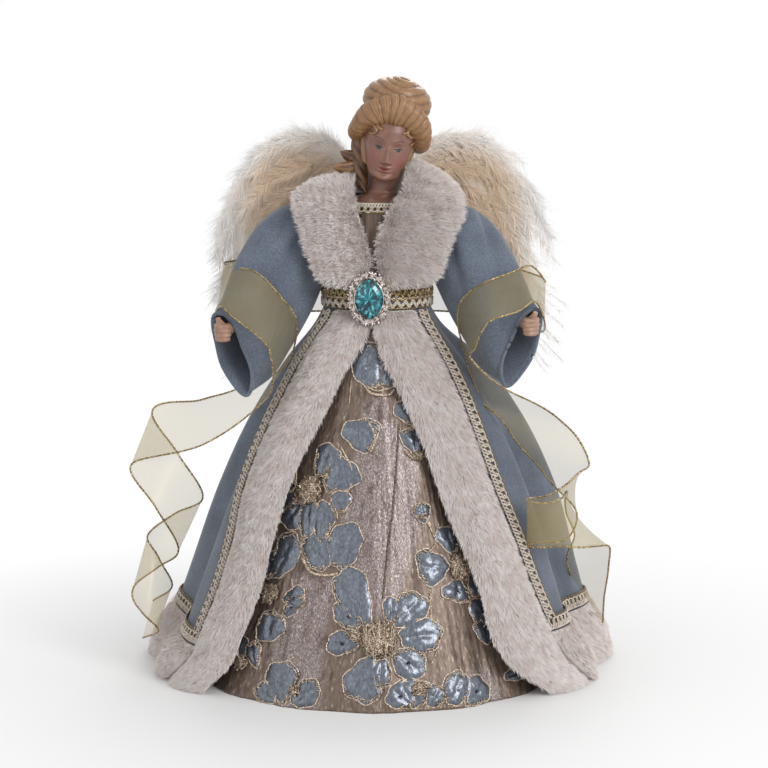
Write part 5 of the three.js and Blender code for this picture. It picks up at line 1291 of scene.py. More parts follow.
def bump(x, z, at_x, at_z, wide, tall):
    """A smooth mound of height 1 at a place, mirrored on both sides of the face's middle line."""
    return np.exp(-((np.abs(x) - at_x) / wide) ** 2 - ((z - at_z) / tall) ** 2)


resin, tree, shader = finish("painted_flesh_resin", "96705f", Roughness=0.42, Coat_Weight=0.25,
                             Coat_Roughness=0.3)
place = object_place(tree)
mottle = noise(tree, place, 220, 3)
tint = ramped(tree, mottle, [(0.35, "755647"), (0.65, "866352")])
colour = tint
for name, paint in (("blush", "8a4f46"), ("lip", "7a3531"), ("white", "82756c"), ("iris", "17120f"),
                    ("dark", "271a15")):
    mask = add(tree, "ShaderNodeAttribute", attribute_name=name)
    mix = add(tree, "ShaderNodeMix", {0: mask.outputs["Fac"], 6: colour, 7: linear(paint)}, data_type="RGBA")
    colour = mix.outputs[2]
paint_with(tree, shader, colour)

face_rows, face_columns = 215, 250
turn = full_turn(face_columns)
angle, share = np.meshgrid(turn - 0.5 * np.sin(turn), np.linspace(-0.51, 0.5, face_rows))
head = skull(angle, share, 0)
x, z = head[..., 0], head[..., 2]
eye_x, eye_z, mouth_z = 6.3, -1, -13.5
mouth_line = mouth_z + 0.03 * x ** 2
relief = (-1.5 * bump(x, z, eye_x, eye_z + 1, 4.0, 2.8) + 1.0 * bump(x, z, eye_x, eye_z, 2.7, 1.6)
          + 0.5 * bump(x, z, 6, 4.4, 5, 1.6) + 0.9 * bump(x, z, 8.8, -8.5, 4.5, 4.6)
          + 1.7 * bump(x, z, 0, -19.6, 4.4, 2.8) + 1.4 * bump(x, z, 2.2, -9.3, 1.1, 1.1)
          + 1.2 * bump(x, z, 0, mouth_z + 1, 3.7, 0.9) + 1.4 * bump(x, z, 0, mouth_z - 1.3, 3.0, 1.0)
          - 0.9 * np.exp(-((z - mouth_line) / 0.3) ** 2) * bump(x, z, 0, mouth_z, 4.4, 2)
          - 0.4 * bump(x, z, 0, mouth_z + 2.6, 0.6, 0.9) - 0.8 * bump(x, z, 0, -16.8, 4, 1))
for k in range(9):
    relief = (relief + (0.35 + 0.26 * k) * bump(x, z, 0, 1 - 1.25 * k, 1.3 + 0.09 * k, 1.3)
              * (0.85 if k < 8 else 1))
almond = np.clip(1 - ((np.abs(x) - eye_x) / 2.9) ** 2, 0, 1)
lid, under = eye_z + 1.1 * almond ** 0.7, eye_z - 0.85 * almond
inside_eye = step_up(lid - z, -0.1, 0.1) * step_up(z - under, -0.1, 0.1) * (almond > 0.02)
relief = relief + 0.35 * np.exp(-((z - lid - 0.45) / 0.4) ** 2) * almond - 0.25 * inside_eye
front = step_up(np.cos(angle), 0.15, 0.6)
head[..., 1] -= relief * front
iris_far = np.hypot(np.abs(x) - eye_x, z - eye_z - 0.1)
brow_line = 3.9 + 1.5 * np.sin(np.pi * np.clip((np.abs(x) - 3) / 9, 0, 1)) - 0.05 * (np.abs(x) - 6)
brow = (np.exp(-((z - brow_line) / 0.38) ** 2) * step_up(np.abs(x), 2.9, 3.8)
        * (1 - step_up(np.abs(x), 9.2, 10.6)))
upper = (mouth_line + (1.45 - 0.3 * bump(x, z, 0, mouth_z + 1, 0.7, 9))
         * np.clip(1 - (x / 4.3) ** 2, 0, 1) ** 0.8)
lower = mouth_line - 1.7 * np.clip(1 - (x / 3.9) ** 2, 0, 1) ** 0.8
lips = step_up(upper - z, -0.15, 0.15) * step_up(z - lower, -0.15, 0.15) * (np.abs(x) < 4.3)
lash = (1.3 * np.exp(-((z - lid) / 0.36) ** 2) * step_up(almond, 0.02, 0.3)
        + 0.35 * np.exp(-((z - under) / 0.16) ** 2) * almond)
crease = 0.4 * np.exp(-((z - lid - 1.15) / 0.22) ** 2) * step_up(almond, 0.1, 0.5)
pupil = (1 - step_up(iris_far, 0.45, 0.65)) * inside_eye
nostril = 0.8 * bump(x, z, 1.35, -10.35, 0.6, 0.35)
seam = 0.55 * np.exp(-((z - mouth_line) / 0.2) ** 2) * (np.abs(x) < 4.2)
paint = {"blush": 0.65 * bump(x, z, 9.4, -8.5, 5.2, 5) + 0.25 * bump(x, z, 0, -9, 3, 3) + 0.2,
         "lip": lips * 0.85,
         "white": inside_eye * 0.8, "iris": (1 - step_up(iris_far, 1.4, 1.75)) * inside_eye,
         "dark": np.clip(brow * 0.75 + lash + crease + pupil + nostril + seam, 0, 1)}
paint = {key: np.clip(mask * front, 0, 1) for key, mask in paint.items()}

# Neck and bust: half widths, half depths and lean of the ovals from the shoulders to the chin
bust_z = np.array([296.4, 302.7, 308, 310.4, 312.8, 317.6, 327.2, 336.8])
bust_oval = np.array([[25, 23.8, 18.0, 15.5, 11.6, 9.8, 9.8, 9.8],
                      [23.2, 23.2, 21.9, 16.5, 12.1, 9.8, 9.8, 9.8],
                      [0, 0, 0, 0, 2, 4.4, 6.8, 8], [0, 0, 0, 0, -1.5, -3.3, -5.1, -6]]).T
turn, height = np.meshgrid(full_turn(90), np.linspace(296.4, 336.8, 80))
oval = eased(bust_z, bust_oval, height.ravel()).reshape(height.shape + (4,))
bust = np.stack([oval[..., 2] + oval[..., 0] * np.sin(turn), oval[..., 3] - oval[..., 1] * np.cos(turn),
                 height], -1)
collarbone = 0.9 * np.exp(-((height - 311.5 - 3 * np.abs(np.sin(turn))) / 1.3) ** 2) * (np.cos(turn) > 0)
bust[..., 1] -= collarbone * np.cos(turn)


def closed_grid(grid):
    """A grid whose rows are rings, with a middle point at each end, as points and faces."""
    rows, columns = grid.shape[:2]
    j = np.arange(columns)
    first, last = np.full(columns, rows * columns), np.full(columns, rows * columns + 1)
    base = (rows - 1) * columns
    ends = np.vstack([np.stack([(j + 1) % columns, j, first, first], 1),
                      np.stack([base + j, base + (j + 1) % columns, last, last], 1)])
    points = np.vstack([grid.reshape(-1, 3), grid[0].mean(0), grid[-1].mean(0)])
    return points, np.vstack([lattice(rows, columns, ring=True), ends])


head_points, head_faces = closed_grid(head)
bust_points, bust_faces = closed_grid(bust)
points, faces = stack([(on_head(head_points), head_faces), (bust_points, bust_faces)])
paint = {key: np.concatenate([mask.ravel(), np.zeros(2),
                              np.full(len(bust_points), 0.15 if key == "blush" else 0)])
         for key, mask in paint.items()}
doll = piece("doll_head", points, faces, resin, "figure", ["head_bust"], "painted_face", values=paint)
tidy(doll)


# Moulded hair
# The hair is cast with the head: a puffed roll swept up all round the face, a coiled bun on top, a ringlet
# down the neck and two loose curls. It is painted gold-brown, darker the deeper its grooves.
hair, tree, shader = finish("painted_moulded_hair", "94704c", Roughness=0.4, Coat_Weight=0.3,
                            Coat_Roughness=0.25)
groove = add(tree, "ShaderNodeAttribute", attribute_name="groove")
place = object_place(tree)
patch = noise(tree, place, 260, 4)
# Darker the deeper the groove, with random lighter and darker patches.
drift = add(tree, "ShaderNodeMath", {0: patch, 1: 0.5}, operation="SUBTRACT")
groove_darkening = add(tree, "ShaderNodeMath", {0: drift.outputs[0], 1: 0.7, 2: groove.outputs["Fac"]},
             operation="MULTIPLY_ADD")
tint = ramped(tree, groove_darkening.outputs[0], [(0.0, "a27a54"), (0.3, "8b6541"), (0.65, "69472d"), (1.0, "3f2a1b")])
paint_with(tree, shader, tint)


def unit(rows):
    """Rows scaled to length 1."""
    return rows / (np.linalg.norm(rows, axis=-1, keepdims=True) + 1e-9)


def strands(phase, sharp=0.5):
    """Carved strands: 1 on a rounded strand, down to 0 in the sharp groove beside it."""
    return np.abs(np.sin(phase)) ** sharp


def carved(grid, normal, locks, fine, lock_depth=0.9, fine_depth=0.3):
    """A grid pushed in where locks and fine strands leave grooves. Gives it and the grooves' depth."""
    depth = lock_depth * (1 - locks) + fine_depth * (1 - fine)
    return grid - normal * depth[..., None], np.clip(0.55 * (1 - locks) ** 1.3 + 0.4 * (1 - fine), 0, 1)


hair_parts, hair_grooves = [], []


def add_hair(grid, grooves, dark=0.0):
    """Keeps a closed part of the hair and how far each of its points is painted darker."""
    part = closed_grid(grid)
    hair_parts.append(part)
    hair_grooves.append(np.clip(np.concatenate([grooves.ravel(), [1, 1]]) + dark, 0, 1))


# The roll round the face: strands run round the roll and lean outward toward the sides
theta, round_roll = np.meshgrid(np.radians(np.linspace(-124, 124, 400)), full_turn(44), indexing="ij")
side = np.abs(theta) / math.radians(112)
crest = np.clip(np.cos(theta), 0, 1) ** 2
middle = np.stack([20.6 * np.sin(theta), -13 + 20 * side ** 2, 3 + 17.5 * np.cos(theta) + 3.2 * crest], -1)
outer = np.stack([np.sin(theta), 0 * theta, np.cos(theta)], -1)
fore = np.array([0, 1.0, 0])
puff = 6.9 * np.sqrt(np.clip(1.12 - (side / 1.08) ** 6, 0.06, 1)) * (1 + 0.05 * np.sin(7 * theta + 1))
way = outer * (np.sin(round_roll) * (1 + 0.5 * crest))[..., None] + fore * np.cos(round_roll)[..., None]
slant = 0.16 * theta * np.cos(round_roll) + 0.03 * np.sin(round_roll * 2 + theta * 3)
wander = 0.5 * ripple(theta * 6, round_roll * 0.6, 141, 8, 0.5, 1.6)
locks = strands(17 * (theta + slant) + wander, 0.45)
fine = strands(58 * (theta + slant) + 3 * wander, 0.7)
grid, grooves = carved(middle + way * puff[..., None], way, locks, fine, 0.8, 0.3)
add_hair(on_head(grid), 0.75 * grooves, 0.08)

# The cap behind the roll, its strands combed up toward the bun; it sinks under the skin in front
angle, share = np.meshgrid(full_turn(200), np.linspace(-0.36, 0.49, 80))
combed = np.minimum(angle, 2 * np.pi - angle)
growth = (-1.2 + 4.2 * step_up(combed, math.radians(82), math.radians(98))
          * (0.4 + 0.6 * step_up(share, -0.36, -0.3)))
wander = 0.4 * ripple(angle * 4, share * 6, 142, 8, 0.5, 1.6)
locks, fine = strands(13 * angle + 1.5 * share + wander), strands(52 * angle + 6 * share + 3 * wander)
cap = skull(angle, share, growth)
flat = unit(cap * [1, 1, 0])
grid, grooves = carved(cap, flat, locks, fine, 0.8, 0.3)
add_hair(on_head(grid), grooves, 0.1)


def ball_of_hair(centre, size, locks_at, fine_at, rows=84, columns=170, depth=0.8):
    """A closed ball whose strands follow lines of equal phase, given as functions of lat and lon."""
    lat, lon = np.meshgrid(np.linspace(-np.pi / 2, np.pi / 2, rows), full_turn(columns),
                           indexing="ij")
    way = np.stack([np.cos(lat) * np.sin(lon), -np.cos(lat) * np.cos(lon), np.sin(lat)], -1)
    fade = step_up(np.cos(lat), 0.02, 0.2)
    locks = 1 - (1 - strands(locks_at(lat, lon), 0.6)) * fade
    fine = 1 - (1 - strands(fine_at(lat, lon), 0.7)) * fade
    grid, grooves = carved(centre + way * size, way, locks, fine, depth, 0.3)
    add_hair(on_head(grid), grooves, 0.04)


def lower_wave(lat, lon):
    return 9 * lat + 0.9 * np.sin(lon + 0.6) + 0.5 * np.sin(3 * lon + 2 * lat)


def upper_wave(lat, lon):
    return 7 * lat + 1.0 * lon + 0.4 * np.sin(2 * lon)


ball_of_hair(np.array([0.6, 4, 25.6]), np.array([22.6, 18.2, 15.8]), lower_wave,
             lambda lat, lon: 4.3 * lower_wave(lat, lon) + 0.5)
ball_of_hair(np.array([0.6, 4, 32.2]), np.array([14.6, 12, 10.2]), upper_wave,
             lambda lat, lon: 4 * upper_wave(lat, lon))


def curl_of_hair(xs, ys, zs, radii, twist, flat=1.0, dark=0.0, lines=3):
    """A tapering lock through points given as shares of the head, with grooves that wind round it."""
    stops = np.arange(len(xs))
    v = np.linspace(0, len(xs) - 1, 90)
    path = eased(stops, np.stack([np.array(xs) * head_wide, np.array(ys) * head_deep,
                                  np.array(zs) * head_tall], 1), v)
    size = eased(stops, np.array(radii), v) * 6.5
    way = unit(np.gradient(path, axis=0))
    across = unit(np.cross([0, 1, 0], way))
    up = np.cross(way, across)
    turn = full_turn(48)
    spoke = across[:, None] * np.cos(turn)[:, None] + up[:, None] * (np.sin(turn) * flat)[:, None]
    phase = lines / 2 * turn[None] + twist * v[:, None]
    locks, fine = strands(phase, 0.6), strands(phase * 4 + 0.4, 0.7)
    grid = path[:, None] + spoke * (size[:, None] * (1 - 0.16 * (1 - locks) - 0.05 * (1 - fine)))[..., None]
    add_hair(on_head(grid), np.clip(0.8 * (1 - locks) + 0.4 * (1 - fine), 0, 1), dark)


curl_of_hair([-0.58, -0.54, -0.48, -0.44, -0.36, -0.27], [0.18, 0.18, 0.12, 0.03, -0.08, -0.18],
             [-0.06, -0.22, -0.38, -0.54, -0.68, -0.78], [0.8, 0.9, 0.9, 0.8, 0.6, 0.12], 2.4, 1.0, 0.35, 4)
curl_of_hair([-0.36, -0.5, -0.64, -0.8, -0.92], [0.16, 0.14, 0.12, 0.1, 0.09],
             [-0.31, -0.35, -0.36, -0.33, -0.3],
             [0.75, 0.85, 0.75, 0.5, 0.04], 0.25, 0.6, 0.45, 6)
curl_of_hair([-0.4, -0.56, -0.72, -0.88, -1.02], [0.12, 0.08, 0.03, 0, -0.04],
             [-0.47, -0.5, -0.52, -0.52, -0.53],
             [0.75, 0.85, 0.75, 0.5, 0.04], 0.25, 0.6, 0.0, 6)

# Small loose curls along the hairline, each a hook that starts under the roll
for start, sweep, size in (((-12.6, 8.8), -1.9, 3.0), ((-8.4, 12.6), 1.7, 2.6), ((7.4, 12.9), -1.7, 2.6),
                           ((11.0, 10.2), 1.8, 3.2), ((13.4, 5.6), -1.6, 2.8)):
    u = np.linspace(0, 1, 40)
    bend = 2.2 + sweep * u * 2.9
    x = start[0] + size * 0.8 * (np.cos(bend) - math.cos(2.2)) * (1 - 0.35 * u)
    z = start[1] + 1.2 - size * 1.2 * u + size * 0.6 * np.sin(bend) * (1 - 0.3 * u)
    share = z / head_tall
    half = eased(head_z, head_half_x, share) * head_wide
    angle = np.arcsin(np.clip(x / half, -0.98, 0.98))
    spine = skull(angle, share, 0.4)
    radius = 1.35 * (1 - 0.55 * u ** 2)
    points, faces = tube(on_head(spine), radius, 10)
    hair_parts.append((points, faces))
    around = np.tile(np.abs(np.sin(np.arange(10) * np.pi / 5)), 40) * 0.5
    hair_grooves.append(np.concatenate([around, [0.5, 0.5]]))

do = piece("moulded_updo", *stack(hair_parts), hair, "figure", ["hair_updo"], "moulded_hair",
           values={"groove": np.concatenate(hair_grooves)})
tidy(do)


# Moulded hands
# Each hand is a small casting in the same painted resin, a loose fist with its thumb up, pushed
# on the end of the arm wire and turned forward out of the sleeve.
hand_resin, tree, shader = finish("painted_hand_resin", "a27f6b", Roughness=0.45, Coat_Weight=0.2)
place = object_place(tree)
mottle = noise(tree, place, 260, 3)
tint = ramped(tree, mottle, [(0.35, "967360"), (0.65, "b08c76")])
paint_with(tree, shader, tint)

for side, drop in sleeve_drop.items():
    sign = -1 if side == "left" else 1
    pivot = arm_pivot * [sign, 1, 1]
    centre = pivot + np.array([sign * 0.93 * sleeve_reach, -1.16 * sleeve_depth, -0.625 * drop])
    inner = pivot + np.array([sign * 0.86 * sleeve_reach, -0.92 * sleeve_depth, -0.61 * drop])
    toward = unit(centre - inner)
    ball_angle, ball_turn = np.meshgrid(np.linspace(0.02, np.pi - 0.02, 24), full_turn(32), indexing="ij")
    shape = np.stack([np.sin(ball_angle) * np.cos(ball_turn), np.sin(ball_angle) * np.sin(ball_turn),
                      np.cos(ball_angle)], -1)
    palm = closed_grid(centre + [0, 1.8, -0.2] + shape * [4.6, 4.6, 5.8])
    parts = [palm, tube(np.linspace(centre - toward * 9.5, centre, 12),
                        3.9 - 0.5 * np.linspace(0, 1, 12), 20)]
    for k in range(4):
        curl = np.radians(np.linspace(-62 + 4 * k, 176 - 6 * k, 26))
        far = 4.3 - 0.25 * abs(k - 1)
        knuckle = 1 + 0.06 * np.cos(3 * curl)
        bent = centre + np.stack([sign * far * np.cos(curl) * knuckle, -far * np.sin(curl) * knuckle - 0.4,
                                  3.9 - 2.7 * k + 0 * curl - 0.5 * np.sin(curl)], -1)
        parts.append(tube(bent, (1.85 - 0.1 * k) * (1 - 0.18 * np.linspace(0, 1, 26) ** 3), 14))
    thumb = centre + np.array([[sign * -0.5, 1, 3], [sign * 1.2, -1.6, 5.4], [sign * 2.6, -3.4, 7.2],
                               [sign * 3.3, -4.2, 9.2]])
    stops = np.linspace(0, 3, 24)
    parts.append(tube(eased(np.arange(4), thumb, stops), 2.0 - 0.35 * (stops / 3) ** 2, 14))
    fist = piece("moulded_hand_" + side, *stack(parts), hand_resin, "arm_" + side, ["hand_" + side],
                 "painted_face")
    shell = fist.modifiers.new("one_skin", "REMESH")
    shell.mode, shell.voxel_size, shell.use_smooth_shade = "VOXEL", 0.3 * MM, True
    soft = fist.modifiers.new("smooth_cloud_and_fold_shade", "SMOOTH")
    soft.factor, soft.iterations = 0.5, 3


# Wings
# Each wing is a card with small marabou plumes glued over its front, roots inward and tips
# outward and down, and a few long thin flight plumes behind. It sweeps on its bent wire.
wing_root_x, wing_plane_y, wing_base, wing_tall = 8, 40, waist_height + 54, 61
wing_reach = {"left": 101, "right": 108}
wing_x = np.array([0.07, 0.14, 0.26, 0.42, 0.56, 0.72, 0.86, 0.96, 1])
wing_top = np.array([0.55, 0.78, 0.92, 1, 0.97, 0.78, 0.4, -0.05, -0.5])
wing_low = np.array([0.1, -0.1, -0.25, -0.42, -0.55, -0.7, -0.85, -0.95, -0.9])
fluff_thickness = 9

marabou, tree, shader = finish("marabou_down", "e9ddcf", Roughness=1.0, Specular_IOR_Level=0.1,
                               Sheen_Weight=0.3)
# Partly the down's own cream colour; the white toward the top edge and the outer tips is a painted
# backlight, where light shines through the thin fluff, and the slightly darker roots are painted shade.
toward_edge = add(tree, "ShaderNodeAttribute", attribute_name="edge")
tint = ramped(tree, toward_edge.outputs["Fac"], [(0.0, "ecd6bd"), (0.3, "f5e6d6"), (0.6, "fdf8f3"),
                                                 (1.0, "ffffff")])
depth = add(tree, "ShaderNodeAttribute", attribute_name="tip")
shade = ramped(tree, depth.outputs["Fac"], [(0.0, "f4eee7"), (0.5, "ffffff")])
both = add(tree, "ShaderNodeMix", {0: 1.0, 6: tint, 7: shade}, data_type="RGBA",
           blend_type="MULTIPLY")
paint_with(tree, shader, both.outputs[2])

quill, tree, shader = finish("feather_quill", "cfc6bb", Roughness=0.5)
place = object_place(tree)
stain = noise(tree, place, 90)
tint = ramped(tree, stain, [(0.4, "e9e2d9"), (0.6, "ffffff")])
paint_with(tree, shader, tint)


def barbs(roots, ways, sides, lengths, droop, width, steps):
    """Thin curved blades of a few steps each. A blade's line is its root, plus its way times its
    length, plus its droop times the square of how far it has gone. Gives points, faces, shares."""
    along = np.linspace(0, 1, steps + 1)[None, :, None]
    line = roots[:, None] + ways[:, None] * lengths[:, None, None] * along + droop[:, None] * along ** 2
    half = sides[:, None] * width / 2 * (1 - 0.75 * along)
    points = np.stack([line - half, line + half], 2)
    first = np.arange(len(roots))[:, None, None] * 2 * (steps + 1) + np.arange(steps)[None, :, None] * 2
    faces = (first + np.array([0, 1, 3, 2])).reshape(-1, 4)
    share = np.broadcast_to(along[..., 0, None], (len(roots), steps + 1, 2))
    return points.reshape(-1, 3), faces, share.ravel()


for side, seed in (("left", 101), ("right", 111)):
    sign = -1 if side == "left" else 1
    draw = np.random.default_rng(seed)

    def on_wing(x, z, back):
        """Points of the wing's plane: shares of its reach and height, and millimetres behind it."""
        return np.stack(np.broadcast_arrays(sign * (wing_root_x + x * wing_reach[side]),
                                            wing_plane_y + back, wing_base + z * wing_tall), -1)

    # A felted core fills the place of the fluff, so no card shows between the barbs
    u, w = np.meshgrid(np.linspace(0.1, 0.88, 60), np.linspace(0, 1, 24), indexing="ij")
    high, low = eased(wing_x, wing_top, u) - 0.2, eased(wing_x, wing_low, u) + 0.1
    rise = np.sqrt(np.clip(np.sin(np.pi * w), 0, 1) * np.clip(np.sin(np.pi * (u - 0.08) / 0.84), 0, 1))
    front = on_wing(u, low + (high - low) * w, -1.35 - 0.18 * fluff_thickness * rise)
    behind = on_wing(u, low + (high - low) * w, -1.3)
    ring = np.concatenate([front, behind[:, ::-1]], 1)
    core_points = ring.reshape(-1, 3)
    j = np.arange(23)
    ends = np.stack([j, j + 1, 46 - j, 47 - j], 1)
    core_faces = np.vstack([lattice(60, 48, ring=True), ends[:, ::-1], ends + 59 * 48])
    core_edge = np.concatenate([u, u[:, ::-1]], 1).ravel() * 0.4 + 0.3

    # Plumes overlap like tiles, in rows from the tip back to the root
    count = 150
    px_share = draw.uniform(0.07, 0.93, count) ** 1.15
    pz_share = draw.uniform(0.06, 0.93, count)
    px_share[:34], pz_share[:34] = np.linspace(0.09, 0.95, 34), draw.uniform(0.8, 0.93, 34)
    high, low = eased(wing_x, wing_top, px_share), eased(wing_x, wing_low, px_share)
    root = on_wing(px_share, low + (high - low) * pz_share,
                   -1.5 - fluff_thickness * draw.uniform(0.35, 0.75, count)
                   * np.sin(np.pi * np.clip(px_share, 0.1, 0.9)))
    rise_ahead = ((eased(wing_x, wing_top, px_share + 0.02) - eased(wing_x, wing_top, px_share - 0.02))
                  * wing_tall)
    contour = np.arctan2(0.04 * wing_reach[side], rise_ahead)
    top_row = pz_share > 0.78
    fall = np.clip(1 - pz_share, 0, 1) ** 0.8
    lean = (contour - 0.2) * (1 - fall) + np.radians(168) * fall + draw.normal(size=count) * 0.16
    way = np.stack([sign * np.sin(lean), draw.normal(size=count) * 0.06 - 0.02, np.cos(lean)], -1)
    reach = draw.uniform(18, 30, count) * (1 - 0.42 * top_row)
    fibres = 105
    a = draw.uniform(0.02, 1, (count, fibres))
    hand_of = np.where(draw.uniform(size=(count, fibres)) < 0.5, -1.0, 1.0)
    curve = np.stack([0 * lean, 0 * lean, -np.ones(count)], -1) * (reach * 0.12)[:, None]
    stem = (root[:, None] + way[:, None] * (reach[:, None] * a)[..., None]
            + curve[:, None] * (a ** 2)[..., None])
    across = unit(np.cross(way, [0, 1, 0]))[:, None] * hand_of[..., None]
    spread = np.radians(22 + 14 * (1 - a))[..., None]
    fibre_way = (way[:, None] * np.cos(spread) + across * np.sin(spread)
                 + draw.normal(size=(count, fibres, 3)) * 0.09)
    long = (8.5 * np.sin(np.pi * np.clip(0.15 + 0.75 * a, 0, 1)) + 2.5) * draw.uniform(0.7, 1.3, a.shape)
    droop = draw.normal(size=(count, fibres, 3)) * [1.2, 0.8, 1.2] + [0, 0, -1.4]
    roots, ways = stem.reshape(-1, 3), unit(fibre_way).reshape(-1, 3)
    sides = unit(np.cross(ways, draw.normal(size=ways.shape) * 0.4 + [0, 1, 0]))
    points, faces, share = barbs(roots, ways, sides, long.ravel(), droop.reshape(-1, 3), 0.36, 3)
    points[:, 1] = np.minimum(points[:, 1], wing_plane_y + 0.5)
    # How near each barb lies to the top edge or the outer end, for the painted backlight.
    from_root = (np.abs(points[:, 0]) - wing_root_x) / wing_reach[side]
    up = (points[:, 2] - wing_base) / wing_tall
    rim = np.clip(1 - (eased(wing_x, wing_top, np.clip(from_root, 0.07, 1)) - up) / 0.45, 0, 1)
    edge = np.maximum(rim, step_up(from_root, 0.6, 1.05)) + draw.normal(size=len(points)) * 0.03
    edge = np.clip(edge, 0, 1)
    piece("marabou_" + side, np.vstack([core_points, points]),
          np.vstack([core_faces, faces + len(core_points)]),
          marabou, "wing_" + side, ["wing_fluff_" + side], "feather",
          values={"tip": np.concatenate([np.full(len(core_points), 0.3), share]),
                  "edge": np.concatenate([core_edge, edge])})

    # Flight plumes: long fine quills with sparse soft barbs near their ends
    tilt = 4 if side == "left" else 12
    quills, soft, tips = [], [], []
    for k, length_share in enumerate([0.72, 0.84, 0.93, 1, 1.02, 1, 0.95]):
        for _ in range(3):
            angle = math.radians(196 + tilt + 32 * (1 - k / 6) + draw.normal() * 2.2)
            length = 126 * length_share * draw.uniform(0.72, 1)
            start = on_wing(0.35, -0.05, 0.9 + draw.uniform(0, 2))
            way = np.array([-sign * math.sin(angle), 0, math.cos(angle)])
            bow = np.array([sign * draw.normal() * 3, draw.uniform(0, 2), 0])
            t = np.linspace(0, 1, 26)
            line = start + np.outer(t * length, way) + np.outer(np.sin(np.pi * t) * 1.0, bow)
            quills.append(tube(line, 0.24 * (1 - 0.7 * t) + 0.06, 5))
            n = 130
            a = draw.uniform(0.3, 1, n) ** 0.8
            roots = np.stack([np.interp(a, t, line[:, c]) for c in range(3)], -1)
            across = unit(np.cross(way, [0, 1, 0])) * np.where(draw.uniform(size=(n, 1)) < 0.5, -1, 1)
            ways = unit(way * 0.93 + across * 0.3 + draw.normal(size=(n, 3)) * [0.1, 0.05, 0.1])
            long = draw.uniform(5, 11, n) * (1.15 - 0.5 * a)
            droop = draw.normal(size=(n, 3)) * [0.9, 0.5, 0.9]
            sides = unit(np.cross(ways, draw.normal(size=ways.shape) * 0.3 + [0, 1, 0]))
            points, faces, share = barbs(roots, ways, sides, long, droop, 0.22, 3)
            soft.append((points, faces))
            tips.append(share)
    points, faces = stack(soft)
    piece("flight_barbs_" + side, points, faces, marabou, "wing_" + side, slot="feather",
          values={"tip": np.concatenate(tips), "edge": np.full(len(points), 1.0)})
    shafts = piece("flight_quills_" + side, *stack(quills), quill, "wing_" + side, ["wing_flights_" + side],
                   "feather")
    tidy(shafts)


# Organza ribbon
# A 38 mm sheer ribbon shot with gold thread, with a wire whipped in gold along each edge. It is
# tacked behind the waist, lies over each sleeve, turns round it, and hangs in loose curls.
ribbon_width = 38
ribbon_stations = {
    "left": [
        (-1.5, 35.2, 250, 0, -0.05, 1), (-22, 32, 251, 0, 0, 1), (-45, 23, 252, 0, 0, 1),
        (-75, 19, 251, 0, 0.1, 1), (-95, 9, 249, 0.05, 0.2, 0.98), (-103, -8, 250, 0.15, 0.35, 0.92),
        (-100, -24, 253, 0.18, 0.69, 0.70), (-93, -40, 255, 0.25, 0.78, 0.57),
        (-84, -46.5, 251, 0.38, 0.63, 0.67), (-70, -49, 239, 0.46, 0.73, 0.50),
        (-60, -46, 226, 0.45, 0.80, 0.38), (-60, -42, 214, 0.36, 0.93, 0.12),
        (-63.5, -34, 198, 0.13, 0.98, 0.12), (-84, -24, 182, -0.53, 0.84, 0.12),
        (-114, -20, 165, -0.14, 0.75, 0.65), (-154, -18, 154, 0.35, 0.26, 0.90),
        (-137, -26, 127, 0.37, 0.35, 0.86), (-123, -14, 95, 0.40, 0.21, 0.89),
        (-140, -6, 83, 0.30, 0, 0.95), (-157, -12, 69, 0.28, -0.06, 0.96),
        (-149, -22, 56, 0.27, 0.55, 0.79), (-140, -18, 41, 0.18, 0.77, 0.61),
        (-154, 5, 27, 0.09, 0.88, 0.46)],
    "right": [
        (1.5, 35.2, 250, 0, -0.05, 1), (22, 32, 251, 0, 0, 1), (45, 23, 252, 0, 0, 1),
        (75, 19, 249, 0, 0.1, 1), (96, 9, 243, -0.05, 0.2, 0.98), (107, -8, 241, 0, 0.4, 0.92),
        (109, -22, 243, 0.05, 0.75, 0.66), (100, -35, 257, -0.03, 0.85, 0.53),
        (88, -45, 253, -0.05, 0.81, 0.59), (70, -52, 247, -0.16, 0.84, 0.52),
        (61, -50, 239, -0.34, 0.85, 0.40), (57, -47, 226, -0.27, 0.89, 0.36),
        (58, -42, 211, -0.05, 0.99, -0.09), (72.5, -45, 190, -0.38, 0.9, -0.2),
        (98, -36, 170, -1, 0.09, 0), (111, -32, 154, -0.96, 0.21, -0.19),
        (122, -34, 138, -0.76, 0.61, -0.25), (128, -44, 122, 0.1, 0.7, -0.7),
        (116, -56, 109, 0.29, 0.4, -0.87), (100, -58, 107, 0.2, 0.5, -0.85),
        (96, -68, 107, 0, 0.5, -0.87), (106, -73, 107, -0.1, 0.5, -0.87), (121, -58, 107, 0, 0.3, -0.95),
        (131, -42, 104, 0.45, -0.25, -0.85), (138, -28, 95, 0.7, -0.55, -0.45),
        (141, -19, 79, 0.55, -0.74, -0.4), (138, -12, 60, 0.63, -0.5, -0.6),
        (140, -4, 43, 0.56, -0.27, -0.78)]}

organza, tree, shader = finish("gold_shot_organza", "cdbd8c", Roughness=0.4, Metallic=0.25)
place = add(tree, "ShaderNodeUVMap", uv_map="UVMap")
threads_per_metre = 2600
grid = add(tree, "ShaderNodeMapping", {"Vector": place.outputs[0],
                                       "Scale": (threads_per_metre, threads_per_metre, 1)})
# Painted glints: near the middle of each weave cell the gold thread is painted pale and bright, further out
# in its own duller gold.
glint = add(tree, "ShaderNodeTexVoronoi", {"Vector": grid.outputs[0], "Scale": 1.0, "Randomness": 0.8})
tint = ramped(tree, glint.outputs["Distance"], [(0.1, "fff3c4"), (0.3, "d8c586"), (0.6, "b3a166")])
paint_with(tree, shader, tint)
cover = add(tree, "ShaderNodeMapRange", {0: glint.outputs["Distance"], 1: 0.1, 2: 0.5, 3: 0.52, 4: 0.2})
tree.links.new(cover.outputs[0], shader.inputs["Alpha"])


